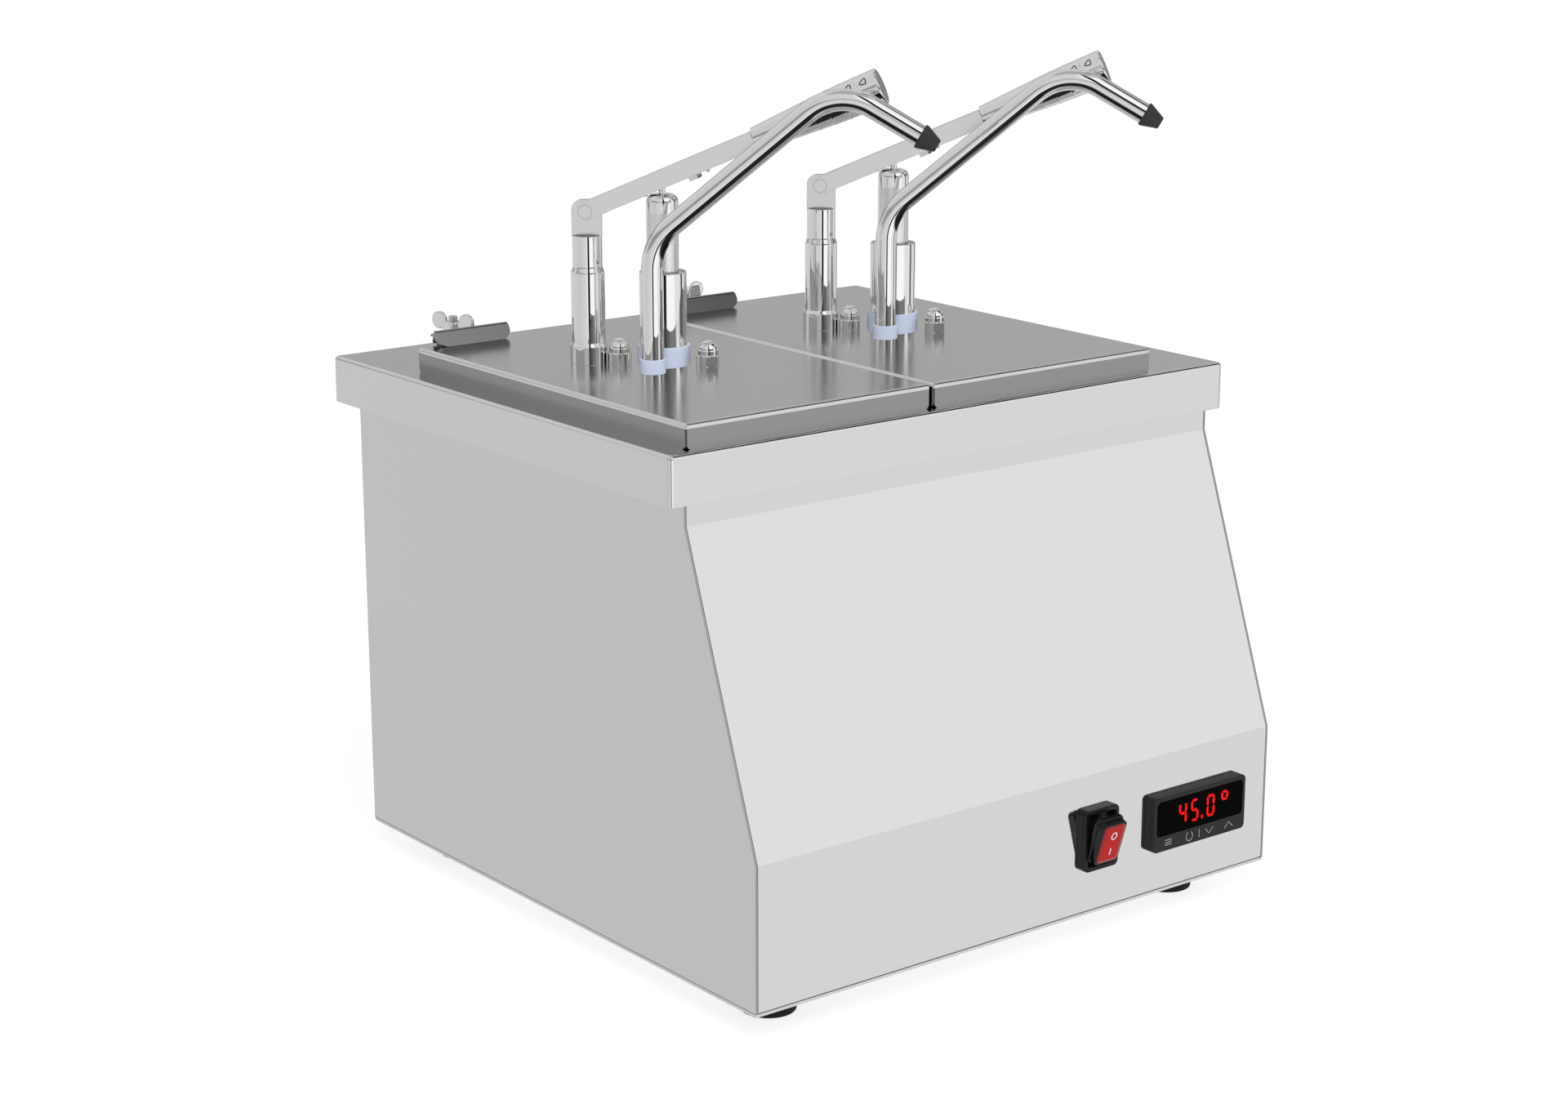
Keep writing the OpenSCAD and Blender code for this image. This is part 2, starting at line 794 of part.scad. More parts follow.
// Where the probe passes the tank's right wall, Z outwards
module at_probe() {
    translate([tank_x1 - tank_t / 2, (tank_y0 + tank_y1) / 2, element_z + 2])
        rotate([0, 90, 0])
            children();
}

module heating_element() {
    bend_y = tank_y0 + element_front + element_span / 2;
    color("slategray")
        placed() {
            at_element_legs() {
                translate([0, 0, -(tank_y1 - tank_t / 2 - bend_y)])
                    cylinder(d = element_d, h = tank_y1 - tank_t / 2 - bend_y + element_out);
                translate([0, 0, tank_t / 2])
                    hexagon(bushing_af, 6);
                translate([0, 0, -tank_t / 2 - 3])
                    cylinder(d = bushing_af, h = 3);
            }
            translate([(tank_x0 + tank_x1) / 2, bend_y, element_z])
                rotate([0, 0, 180])
                    rotate_extrude(angle = 180)
                        translate([element_span / 2, 0])
                            circle(d = element_d);
        }
}

module temperature_probe() {
    color("gainsboro")
        placed()
            at_probe() {
                translate([0, 0, -probe_len])
                    cylinder(d = probe_d, h = probe_len + 12);
                translate([0, 0, tank_t / 2])
                    hexagon(probe_af, 6);
                translate([0, 0, -tank_t / 2 - 2])
                    cylinder(d = probe_af, h = 2);
            }
}

module pan(i) {
    color("whitesmoke")
        placed()
            translate([lid_cx[i], lid_cy, 0])
                difference() {
                    union() {
                        translate([0, 0, pan_z0])
                            mid_plate(pan_bw, pan_bd, pan_r, pan_h - pan_t);
                        translate([0, 0, deck_z])
                            mid_plate(pan_w, pan_d, pan_rim_r, pan_t);
                    }
                    translate([0, 0, pan_z0 + pan_t])
                        mid_plate(pan_bw - 2 * pan_t, pan_bd - 2 * pan_t, pan_r - pan_t, pan_h);
                }
}

module pan_1() {
    pan(0);
}

module pan_2() {
    pan(1);
}

// Controller and switch
module controller_case() {
    color("#2b2b2b")
        placed()
            difference() {
                union() {
                    translate([ctl_x, 0, ctl_z])
                        face_plate(ctl_w, ctl_h, ctl_r, ctl_out);
                    translate([ctl_x, ctl_deep, ctl_z])
                        face_plate(ctl_body_w, ctl_body_h, 1, ctl_deep);
                }
                translate([ctl_x, -ctl_out + win_t, win_z])
                    face_plate(win_w, win_h, ctl_r, win_t + eps);
            }
}

module display_window() {
    color("black")
        placed()
            translate([ctl_x, -ctl_out + win_t, win_z])
                face_plate(win_w, win_h, ctl_r, win_t - 0.1);
}

module switch_body() {
    color("#2b2b2b")
        placed()
            difference() {
                union() {
                    translate([sw_x, 0, sw_z])
                        face_plate(sw_w, sw_h, sw_r, sw_out);
                    translate([sw_x, sw_deep, sw_z])
                        face_plate(sw_body_w, sw_body_h, 1, sw_deep);
                    for (z = [-8, 0, 8])
                        translate([sw_x - 3, sw_deep - 1, sw_z + z - 0.4])
                            cube([6, 9, 0.8]);
                }
                translate([sw_x, pocket_in, sw_z])
                    face_plate(pocket_w, pocket_h, 2, pocket_in + sw_out + eps);
            }
}

// Places the rocker: its face towards -Y, leaning out at the top
module at_rocker() {
    placed()
        translate([sw_x, -rock_axis, sw_z])
            rotate([rock_tilt, 0, 0])
                children();
}

module switch_boot() {
    color("#202020")
        at_rocker()
            difference() {
                union() {
                    translate([0, 1, 0])
                        face_plate(boot_w, boot_h, 3, lens_out - 0.8 + 1);
                    translate([0, boot_back, 0])
                        face_plate(boot_w + 2 * boot_step, boot_h + 2 * boot_step, 3.5, boot_back - 1);
                }
                translate([0, -lens_out + lens_t, 0])
                    face_plate(lens_w, lens_h, 2.5, lens_t);
            }
}

module rocker_lens() {
    color("red")
        at_rocker()
            translate([0, -lens_out + lens_t, 0])
                face_plate(lens_w, lens_h, 2.5, lens_t);
}

module cable_gland() {
    color("#2b2b2b")
        placed()
            translate([casing_w - gland_right, casing_d, gland_z])
                rotate([-90, 0, 0])
                    difference() {
                        union() {
                            translate([0, 0, -sheet - gland_in])
                                cylinder(d = gland_d, h = sheet + gland_in + gland_out);
                            translate([0, 0, -sheet - gland_nut])
                                hexagon(gland_af, gland_nut);
                            hexagon(gland_af, gland_nut);
                            translate([0, 0, gland_nut])
                                cylinder(d1 = gland_af, d2 = gland_d, h = gland_out - gland_nut);
                        }
                        translate([0, 0, -sheet - gland_in - eps])
                            cylinder(d = gland_bore, h = sheet + gland_in + gland_out + 2 * eps);
                    }
}

// Board on its spacers, with a relay and a terminal block
module relay_board() {
    top = board_up + board_t;
    color("seagreen")
        placed()
            translate([casing_w - board_right - board_w, casing_d - board_back - board_d, base_t]) {
                for (x = [spacer_in, board_w - spacer_in], y = [spacer_in, board_d - spacer_in])
                    translate([x, y, 0])
                        cylinder(d = spacer_d, h = board_up);
                translate([0, 0, board_up])
                    cube([board_w, board_d, board_t]);
                translate([board_w / 8, board_d / 5, top])
                    cube([relay_w, relay_d, relay_h]);
                translate([(board_w - terminal_w) / 2, board_d - 1.5 * terminal_d, top])
                    cube([terminal_w, terminal_d, terminal_h]);
            }
}

// Lid i with its holes
module at_pump(i) {
    placed()
        translate([lid_cx[i] + pump_dx, lid_cy + pump_dy, lid_z])
            rotate([0, 0, pump_turn])
                children();
}

module at_nuts() {
    for (s = [-1, 1])
        translate([s * nut_u, 0, 0])
            children();
}

// Holes through the lid and the flange under it, over the height z0 to z1
module pump_holes(z0, z1) {
    translate([0, 0, z0])
        cylinder(r = barrel_r, h = z1 - z0);
    translate([tube_u, -tube_side, z0])
        cylinder(d = tube_d, h = z1 - z0);
    translate([-post_u, 0, z0])
        cylinder(d = post_spigot, h = z1 - z0);
}

module lid(i) {
    color("silver")
        difference() {
            placed()
                translate([lid_cx[i], lid_cy, deck_z])
                    difference() {
                        mid_plate(lid_w, lid_d, lid_r, lid_h);
                        translate([0, 0, -eps])
                            mid_plate(lid_w - 2 * lid_t, lid_d - 2 * lid_t, lid_r - lid_t, lid_h - lid_t + eps);
                    }
            at_pump(i) {
                pump_holes(-lid_t - 1, 1);
                at_nuts()
                    translate([0, 0, -lid_t - 1])
                        cylinder(d = nut_thread, h = lid_t + 2);
            }
        }
}

module lid_1() {
    lid(0);
}

module lid_2() {
    lid(1);
}

module seal_rings(i) {
    color("#ccd4ea")
        at_pump(i) {
            difference() {
                cylinder(d = ring_d, h = ring_h);
                translate([0, 0, -eps])
                    cylinder(r = barrel_r, h = ring_h + 2 * eps);
            }
            translate([tube_u, -tube_side, 0])
                difference() {
                    cylinder(d = ring2_d, h = ring2_h);
                    translate([0, 0, -eps])
                        cylinder(d = tube_d, h = ring2_h + 2 * eps);
                }
        }
}

module seal_rings_1() {
    seal_rings(0);
}

module seal_rings_2() {
    seal_rings(1);
}

// Flange under the lid, with the studs for the domed nuts
module pump_flange(i) {
    foot_x = -post_u - post_spigot / 2 - flange_edge;
    head_x = nut_u + nut_thread / 2 + flange_edge;
    side_y = -tube_side - tube_d / 2 - flange_edge;
    far_y = barrel_r + flange_edge;
    color("gainsboro")
        at_pump(i) {
            difference() {
                translate([0, 0, -lid_t - flange_t])
                    plate(foot_x, side_y, head_x, far_y, flange_edge, flange_t);
                pump_holes(-lid_t - flange_t - 1, 0);
            }
            at_nuts()
                translate([0, 0, -lid_t - eps])
                    cylinder(d = nut_thread, h = lid_t + nut_room);
        }
}

module pump_flange_1() {
    pump_flange(0);
}

module pump_flange_2() {
    pump_flange(1);
}

module dome_nuts(i) {
    color("gainsboro")
        at_pump(i)
            at_nuts()
                difference() {
                    union() {
                        rotate([0, 0, 30])
                            hexagon(nut_af, nut_hex);
                        cylinder(d = dome_d, h = nut_h - dome_d / 2);
                        translate([0, 0, nut_h - dome_d / 2])
                            sphere(d = dome_d);
                    }
                    translate([0, 0, -nut_h])
                        cylinder(d = nut_thread, h = nut_h + nut_room);
                }
}

module dome_nuts_1() {
    dome_nuts(0);
}

module dome_nuts_2() {
    dome_nuts(1);
}

module barrel(i) {
    top = barrel_up;
    bush = top - guide_in;
    color("gainsboro")
        at_pump(i)
            rotate_extrude()
                polygon([[bore_r, -barrel_down], [barrel_r, -barrel_down], [barrel_r, 15],
                    [waist_d / 2, 17], [waist_d / 2, top - 20], [barrel_r, top - 18], [barrel_r, top],
                    [bore_r, top], [bore_r, bush], [guide_r, bush], [guide_r, bush - guide_l],
                    [bore_r, bush - guide_l]]);
}

module barrel_1() {
    barrel(0);
}

module barrel_2() {
    barrel(1);
}

// Foot valve: socket for the barrel, chamber with inlet, passage to the spout tube
module valve_block(i) {
    tube_room = tube_d / 2 + valve_wall;
    color("whitesmoke")
        at_pump(i)
            difference() {
                translate([0, 0, valve_low]) {
                    cylinder(r = barrel_r + valve_wall, h = valve_top - valve_low);
                    translate([tube_u, -tube_side, 0])
                        cylinder(r = tube_room, h = valve_top - valve_low);
                    translate([tube_u - tube_room, -tube_side, 0])
                        cube([2 * tube_room, tube_side, valve_top - valve_low]);
                }
                translate([0, 0, -barrel_down])
                    cylinder(r = barrel_r, h = socket_l + eps);
                translate([0, 0, valve_mid])
                    cylinder(d = chamber_d, h = chamber_l + 2 * eps);
                translate([0, 0, valve_low - eps])
                    cylinder(d = inlet_d, h = valve_floor + 2 * eps);
                translate([tube_u, -tube_side, tube_low])
                    cylinder(d = tube_d, h = valve_top - tube_low + eps);
                translate([tube_u, -tube_side, passage_z])
                    cylinder(r = tube_d / 2 - tube_t, h = tube_low - passage_z + eps);
                translate([tube_u, 0, passage_z])
                    rotate([90, 0, 0])
                        cylinder(d = passage_d, h = tube_side);
            }
}

module valve_block_1() {
    valve_block(0);
}

module valve_block_2() {
    valve_block(1);
}

module inlet_ball(i) {
    color("lightgray")
        at_pump(i)
            translate([0, 0, ball_z])
                sphere(r = ball_r);
}

module inlet_ball_1() {
    inlet_ball(0);
}

module inlet_ball_2() {
    inlet_ball(1);
}

// Plunger with piston and rod
module plunger(i) {
    r = plunger_d / 2;
    groove = seal_t;
    color("gainsboro")
        at_pump(i) {
            difference() {
                union() {
                    translate([0, 0, -piston_down])
                        cylinder(r = piston_r - 0.35, h = piston_l);
                    translate([0, 0, -piston_down + piston_l])
                        cylinder(r = r, h = plunger_up - plunger_r + piston_down - piston_l);
                    translate([0, 0, plunger_up - plunger_r])
                        rotate_extrude()
                            translate([r - plunger_r, 0])
                                circle(r = plunger_r);
                    translate([0, 0, plunger_up - plunger_r])
                        cylinder(r = r - plunger_r, h = plunger_r);
                    translate([0, 0, plunger_up - 1])
                        cylinder(d = rod_d, h = rod_l + 1);
                }
                at_seals()
                    rotate_extrude()
                        translate([piston_r - groove, 0])
                            square([2 * groove, groove]);
            }
        }
}

module at_seals() {
    for (k = [0.25, 0.65])
        translate([0, 0, -piston_down + k * piston_l])
            children();
}

module plunger_1() {
    plunger(0);
}

module plunger_2() {
    plunger(1);
}

module piston_seals(i) {
    color("#333333")
        at_pump(i)
            at_seals()
                rotate_extrude()
                    translate([piston_r - seal_t, 0])
                        square([seal_t, seal_t]);
}

module piston_seals_1() {
    piston_seals(0);
}

module piston_seals_2() {
    piston_seals(1);
}

// Return spring: one unbroken wire, with a closed end coil at both ends
spring_z0 = -barrel_down + wire_d / 2;
spring_z1 = -piston_down - wire_d / 2;
spring_rings = coils * 10;
function spring_z(t) = spring_z0 + (spring_z1 - spring_z0) * t;
function spring_point(k, j) =
    let (t = k / spring_rings, a = 360 * coils * t, b = 60 * j, r = spring_r + wire_d / 2 * cos(b))
    [r * cos(a), r * sin(a), spring_z(t) + wire_d / 2 * sin(b)];

module return_spring(i) {
    points = [for (k = [0:spring_rings], j = [0:5]) spring_point(k, j)];
    last = spring_rings * 6;
    sides = [for (k = [0:spring_rings - 1], j = [0:5])
        let (a = k * 6 + j, b = k * 6 + (j + 1) % 6) each [[a, b, a + 6], [b, b + 6, a + 6]]];
    ends = [for (j = [1:4]) each [[0, j + 1, j], [last, last + j, last + j + 1]]];
    color("lightgray")
        at_pump(i)
            polyhedron(points = points, faces = concat(sides, ends), convexity = 10);
}

module return_spring_1() {
    return_spring(0);
}

module return_spring_2() {
    return_spring(1);
}

// Spout tube: riser, two bends and the sloping end as one swept pipe
function arc(c, a0, a1, n) = [for (k = [0:n])
    let (a = a0 + (a1 - a0) * k / n) [c[0] + bend_r * cos(a), c[1] + bend_r * sin(a), a - 90]];
bend1_c = [tube_u + bend_r, bend1_z - run1];
bend2_c = bend2 - run2 * [cos(rise), sin(rise)] + bend_r * [sin(rise), -cos(rise)];
// Each entry: along the lever, height, heading over the horizontal
spout_line = concat([[tube_u, tube_low, 90]], arc(bend1_c, 180, 90 + rise, 8),
    arc(bend2_c, 90 + rise, 90 - spout_drop, 12), [[spout_end[0], spout_end[1], -spout_drop]]);
spout_n = 28;
spigot_r = (tube_d / 2 - tube_t) * cos(180 / spout_n) - eps;
// Point j of the ring at entry k, s = 0 outside, s = 1 inside
function spout_point(k, s, j) =
    let (p = spout_line[k], r = tube_d / 2 - s * tube_t, b = 360 * j / spout_n)
    [p[0] - r * cos(b) * sin(p[2]), r * sin(b), p[1] + r * cos(b) * cos(p[2])];
function spout_at(k, s, j) = (k * 2 + s) * spout_n + j % spout_n;

module spout_tube(i) {
    last = len(spout_line) - 1;
    points = [for (k = [0:last], s = [0, 1], j = [0:spout_n - 1]) spout_point(k, s, j)];
    outside = [for (k = [0:last - 1], j = [0:spout_n - 1])
        let (a = spout_at(k, 0, j), b = spout_at(k, 0, j + 1), c = spout_at(k + 1, 0, j), d = spout_at(k + 1, 0, j + 1))
        each [[a, b, c], [b, d, c]]];
    inside = [for (k = [0:last - 1], j = [0:spout_n - 1])
        let (a = spout_at(k, 1, j), b = spout_at(k, 1, j + 1), c = spout_at(k + 1, 1, j), d = spout_at(k + 1, 1, j + 1))
        each [[b, a, c], [b, c, d]]];
    ends = [for (j = [0:spout_n - 1])
        let (a = spout_at(0, 0, j), b = spout_at(0, 0, j + 1), c = spout_at(0, 1, j), d = spout_at(0, 1, j + 1),
            e = spout_at(last, 0, j), f = spout_at(last, 0, j + 1), g = spout_at(last, 1, j), h = spout_at(last, 1, j + 1))
        each [[b, a, c], [b, c, d], [e, f, g], [f, h, g]]];
    color("gainsboro")
        at_pump(i)
            translate([0, -tube_side, 0])
                polyhedron(points = points, faces = concat(outside, inside, ends), convexity = 10);
}

module spout_tube_1() {
    spout_tube(0);
}

module spout_tube_2() {
    spout_tube(1);
}

module nozzle(i) {
    color("#202020")
        at_pump(i)
            translate([spout_end[0], -tube_side, spout_end[1]])
                rotate([0, 90 + spout_drop, 0])
                    difference() {
                        union() {
                            cylinder(d1 = nozzle_d1, d2 = nozzle_d2, h = nozzle_l);
                            translate([0, 0, -spigot_l])
                                cylinder(r = spigot_r, h = spigot_l + eps);
                        }
                        translate([0, 0, -spigot_l - eps])
                            cylinder(d = nozzle_bore, h = spigot_l + nozzle_l + 2 * eps);
                    }
}

module nozzle_1() {
    nozzle(0);
}

module nozzle_2() {
    nozzle(1);
}

// Post with its tongue
module post(i) {
    shoulder = pin_z + tongue_over - tongue_r;
    half = post_top_d / 2;
    color("gainsboro")
        at_pump(i)
            translate([-post_u, 0, 0])
                difference() {
                    union() {
                        rotate_extrude()
                            polygon([[0, 0], [post_foot_d / 2, 0], [post_foot_d / 2, post_foot_h],
                                [post_mid_d / 2, post_foot_h + post_step], [post_mid_d / 2, post_mid_h],
                                [half, post_mid_h + post_step], [half, post_top_h], [0, post_top_h]]);
                        translate([0, 0, -lid_t - flange_t])
                            cylinder(d = post_spigot, h = lid_t + flange_t + eps);
                        translate([-half, -tongue_t / 2, post_top_h - eps])
                            cube([2 * half, tongue_t, shoulder - post_top_h + eps]);
                        translate([-half + tongue_r, -tongue_t / 2, shoulder - eps])
                            cube([2 * (half - tongue_r), tongue_t, tongue_r + eps]);
                        for (s = [-1, 1])
                            translate([s * (half - tongue_r), tongue_t / 2, shoulder])
                                rotate([90, 0, 0])
                                    cylinder(r = tongue_r, h = tongue_t);
                    }
                    translate([0, 0, pin_z])
                        rotate([90, 0, 0])
                            cylinder(d = pin_d, h = 2 * tongue_t, center = true);
                }
}

module post_1() {
    post(0);
}

module post_2() {
    post(1);
}

module pivot_pin(i) {
    color("gainsboro")
        at_pump(i)
            translate([-post_u, 0, pin_z])
                rotate([90, 0, 0])
                    cylinder(d = pin_d, h = lever_w, center = true);
}

module pivot_pin_1() {
    pivot_pin(0);
}

module pivot_pin_2() {
    pivot_pin(1);
}

// Frame of the lever: X along its axis from the pivot
module at_lever(i) {
    at_pump(i)
        translate([-post_u, 0, pin_z])
            rotate([0, -lever_rise, 0])
                children();
}

module lever(i) {
    color("lightgray")
        at_lever(i)
            difference() {
                union() {
                    translate([0, -lever_w / 2, -lever_h / 2])
                        cube([grip_at, lever_w, lever_h]);
                    rotate([90, 0, 0])
                        cylinder(d = lever_h, h = lever_w, center = true);
                    translate([grip_at - 1, 0, 0])
                        rotate([0, 90, 0])
                            cylinder(d = tang_d, h = tang_l + 1);
                }
                translate([-lever_h, -tongue_t / 2 - fork_gap, -lever_h])
                    cube([lever_h + fork_in, tongue_t + 2 * fork_gap, 2 * lever_h]);
                rotate([90, 0, 0])
                    cylinder(d = pin_d + 2 * fit, h = lever_w + 1, center = true);
                translate([slot_near, -rod_d / 2 - slot_gap, -lever_h])
                    cube([slot_far - slot_near, rod_d + 2 * slot_gap, lever_h + slot_up]);
                lever_bores();
            }
}

// Holes for the screw and the pins in the lever's underside
module lever_bores() {
    translate([lever_nut_at, 0, -lever_h / 2 - eps])
        cylinder(d = lever_screw_d, h = lever_h - 2 + 2 * eps);
    translate([lever_pin_at, 0, -lever_h / 2 - eps])
        cylinder(d = lever_screw_d / 2, h = lever_h - 2 + 2 * eps);
    translate([lever_nub_at, 0, -lever_h / 2 - eps])
        cylinder(d = lever_screw_d / 2, h = lever_h / 2);
}

module lever_1() {
    lever(0);
}

module lever_2() {
    lever(1);
}

module lever_screws(i) {
    color("gainsboro")
        at_lever(i) {
            translate([lever_nut_at, 0, -lever_h / 2 - lever_nut_h]) {
                hexagon(lever_nut_af, lever_nut_h);
                cylinder(d = lever_screw_d, h = lever_nut_h + lever_h - 2);
            }
            translate([lever_pin_at, 0, -lever_h / 2 - 1.5])
                cylinder(d = lever_screw_d / 2, h = lever_h - 0.5);
            translate([lever_nub_at, 0, -lever_h / 2 - 0.7])
                cylinder(d = lever_screw_d / 2, h = lever_h / 2);
        }
}

module lever_screws_1() {
    lever_screws(0);
}

module lever_screws_2() {
    lever_screws(1);
}

function grip_r(x) =
    x < grip_two * grip_l ? (grip_d1 + (grip_d2 - grip_d1) * x / (grip_two * grip_l)) / 2
    : (grip_d2 + (grip_d3 - grip_d2) * (x - grip_two * grip_l) / ((1 - grip_two) * grip_l)) / 2;

module grip(i) {
    ring = 0.9;
    bumps = [for (k = [1:grip_rings]) let (x = k * grip_pitch)
        each [[grip_r(x), x - ring], [grip_r(x) + grip_bump, x - ring / 2], [grip_r(x) + grip_bump, x + ring / 2],
            [grip_r(x), x + ring]]];
    color("gainsboro")
        at_lever(i)
            translate([grip_at, 0, 0])
                rotate([0, 90, 0])
                    difference() {
                        rotate_extrude()
                            polygon(concat([[0, 0], [grip_d1 / 2, 0]], bumps,
                                [[grip_d3 / 2, grip_l - grip_edge], [grip_d3 / 2 - grip_edge / 3, grip_l - grip_edge / 3],
                                    [grip_d3 / 2 - grip_edge, grip_l], [0, grip_l]]));
                        translate([0, 0, -eps])
                            cylinder(d = tang_d, h = tang_l + eps);
                    }
}

module grip_1() {
    grip(0);
}

module grip_2() {
    grip(1);
}

// Hold-down clamps and wing nuts
module at_stud(i) {
    placed()
        translate([lid_cx[i] - clamp_left, stud_y, lid_z])
            children();
}

// Clamp seen from the side: front flap, ridge, rear flap, tail, heel
module clamp_line() {
    foot = [-stud_back - ridge_in - flap_run, clamp_lift];
    ridge = [-stud_back - ridge_in, ridge_h];
    low = clamp_lift + clamp_t;
    polygon(strip([foot, ridge, [ridge[0] + back_run, low], [heel_r + clamp_t, low],
        [heel_r + clamp_t, -lid_h + heel_low]], -clamp_t));
}

module clamp(i) {
    w = ridge_l;
    front = -stud_back - ridge_in - flap_run;
    color("silver")
        at_stud(i)
            difference() {
                intersection() {
                    along_x(-w, w)
                        clamp_line();
                    union() {
                        translate([0, 0, clamp_lift / 2])
                            plate(-w / 2, front - flap_r, w / 2, front + flap_run + back_run, flap_r, 2 * ridge_h);
                        translate([-tail_w / 2, front + flap_run, -lid_h / 2])
                            cube([tail_w, heel_r + clamp_t - front - flap_run, lid_h + ridge_h]);
                        translate([-heel_w / 2, 0, -lid_h])
                            cube([heel_w, heel_r + clamp_t, lid_h]);
                    }
                }
                translate([0, 0, -lid_h])
                    cylinder(d = stud_d + 2 * clamp_hole, h = 2 * lid_h);
            }
}

module clamp_1() {
    clamp(0);
}

module clamp_2() {
    clamp(1);
}

module wing_nut(i, turn) {
    hub_z = 2 * clamp_lift + clamp_t;
    color("gainsboro")
        at_stud(i)
            rotate([0, 0, turn])
                difference() {
                    union() {
                        translate([0, 0, hub_z])
                            cylinder(d1 = hub_d, d2 = hub_d - 2, h = hub_h);
                        for (s = [-1, 1])
                            translate([s * wing_off, wing_t / 2, wing_z])
                                rotate([90, 0, 0])
                                    cylinder(d = wing_d, h = wing_t);
                        translate([-wing_off, -wing_t / 2, hub_z + 2])
                            cube([2 * wing_off, wing_t, hub_h - 2]);
                    }
                    translate([0, 0, hub_z - eps])
                        cylinder(d = stud_d + 2 * fit, h = 2 * hub_h + wing_d);
                }
}

module wing_nut_1() {
    wing_nut(0, wing_turn_1);
}

module wing_nut_2() {
    wing_nut(1, wing_turn_2);
}

casing_shell();
front_panel();
base_plate();
base_screws();
feet();
foot_screws();
deck();
clamp_studs();
water_tank();
heating_element();
temperature_probe();
pan_1();
pan_2();
controller_case();
display_window();
switch_body();
switch_boot();
rocker_lens();
cable_gland();
relay_board();
lid_1();
lid_2();
seal_rings_1();
seal_rings_2();
pump_flange_1();
pump_flange_2();
dome_nuts_1();
dome_nuts_2();
barrel_1();
barrel_2();
valve_block_1();
valve_block_2();
inlet_ball_1();
inlet_ball_2();
plunger_1();
plunger_2();
piston_seals_1();
piston_seals_2();
return_spring_1();
return_spring_2();
spout_tube_1();
spout_tube_2();
nozzle_1();
nozzle_2();
post_1();
post_2();
pivot_pin_1();
pivot_pin_2();
lever_1();
lever_2();
lever_screws_1();
lever_screws_2();
grip_1();
grip_2();
clamp_1();
clamp_2();
wing_nut_1();
wing_nut_2();
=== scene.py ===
"""Heated sauce pump: the dressed part, its finishes, the studio and the camera."""
from math import atan2, cos, pi, radians, sin, sqrt, tan

import bmesh
import bpy
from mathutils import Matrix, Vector


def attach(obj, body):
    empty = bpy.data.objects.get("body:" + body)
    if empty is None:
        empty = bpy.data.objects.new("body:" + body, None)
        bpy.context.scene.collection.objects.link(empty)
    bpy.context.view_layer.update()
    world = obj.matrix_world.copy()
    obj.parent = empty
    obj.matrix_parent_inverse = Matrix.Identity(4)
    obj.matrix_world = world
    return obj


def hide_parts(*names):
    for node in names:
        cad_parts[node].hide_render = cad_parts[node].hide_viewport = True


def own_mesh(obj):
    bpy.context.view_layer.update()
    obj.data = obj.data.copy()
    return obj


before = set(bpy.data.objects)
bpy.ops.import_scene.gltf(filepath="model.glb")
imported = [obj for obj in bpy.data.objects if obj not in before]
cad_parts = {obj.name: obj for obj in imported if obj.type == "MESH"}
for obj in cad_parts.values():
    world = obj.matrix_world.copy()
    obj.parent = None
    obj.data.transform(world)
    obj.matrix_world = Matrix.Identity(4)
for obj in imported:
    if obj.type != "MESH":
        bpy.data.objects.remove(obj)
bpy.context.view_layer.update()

# Casing frame: millimetres from the casing's front left bottom corner
CASING_W, CASING_D, CASING_H = 400.0, 405.9, 277.1
LIP_H, SLOPE_TOP, SLOPE_RUN = 87.6, 265.0, 62.8
SHEET, BASE_T, FOOT_H = 1.5, 1.7, 19.3
DECK = (-11.2, 60.1, 411.2, 417.4)
DECK_Z = 306.3
LID_X = (4.7, 180.9)
LID_W, LID_Y0, LID_Y1, LID_Z = 173.8, 67.0, 342.0, 320.8
LID_CX = (91.6, 267.8)
PUMP_Y = 209.0
PUMP_TURN = radians(-46)
LEVER_RISE = radians(23.4)
ORIGIN = (200.0, 200.4162, -FOOT_H)
CTL = (337.1, 45.6)
SWITCH = (255.7, 47.8)
ROCK_AXIS, ROCK_TILT = 9.0, radians(17)
STUD_DX, STUD_Y = -50.4, 359.5
NUT_TURNS = (radians(-69), 0.0)

# Pump frame: millimetres from the barrel's axis and the lid's top
BARREL_DX, BARREL_R, SEAT = 1.4, 13.95, 0.02
POST_X, PIVOT_Z, PIN_R = 45, 90.3, 4
SPOUT_X, SPOUT_Y, SPOUT_R = -1.5, -27.5, 6.3
SPOUT_DROP = radians(29.7)
GRIP_X, NUT_X = 108.6, 26.5


# Places: each turns local millimetres into the casing frame, and row() that into the shared frame
def casing(p):
    return p


def row(p):
    """Casing frame to the shared frame, in metres."""
    return Vector([(p[k] - ORIGIN[k]) / 1000 for k in range(3)])


def pump(i, p):
    """Along the lever, across it, and up from the lid's top, from the barrel's axis."""
    c, s = cos(PUMP_TURN), sin(PUMP_TURN)
    return (LID_CX[i] + BARREL_DX + p[0] * c - p[1] * s, PUMP_Y + p[0] * s + p[1] * c, LID_Z + p[2])


def lever_at(i, p):
    """Along the lever from its pivot, across, and up from its axis."""
    c, s = cos(LEVER_RISE), sin(LEVER_RISE)
    return pump(i, (-POST_X + p[0] * c - p[2] * s, p[1], PIVOT_Z + p[0] * s + p[2] * c))


def stud_at(i, p):
    return (LID_CX[i] + STUD_DX + p[0], STUD_Y + p[1], LID_Z + p[2])


def upright(x, z):
    """Local X and Y on the front face, local Z out of it."""
    return lambda p: (x + p[0], -p[2], z + p[1])


def rocker(p):
    """As upright, in the rocker's frame: Z out of it from the rocking axis."""
    y, z = -p[2], p[1]
    c, s = cos(ROCK_TILT), sin(ROCK_TILT)
    return (SWITCH[0] + p[0], -ROCK_AXIS + y * c - z * s, SWITCH[1] + y * s + z * c)


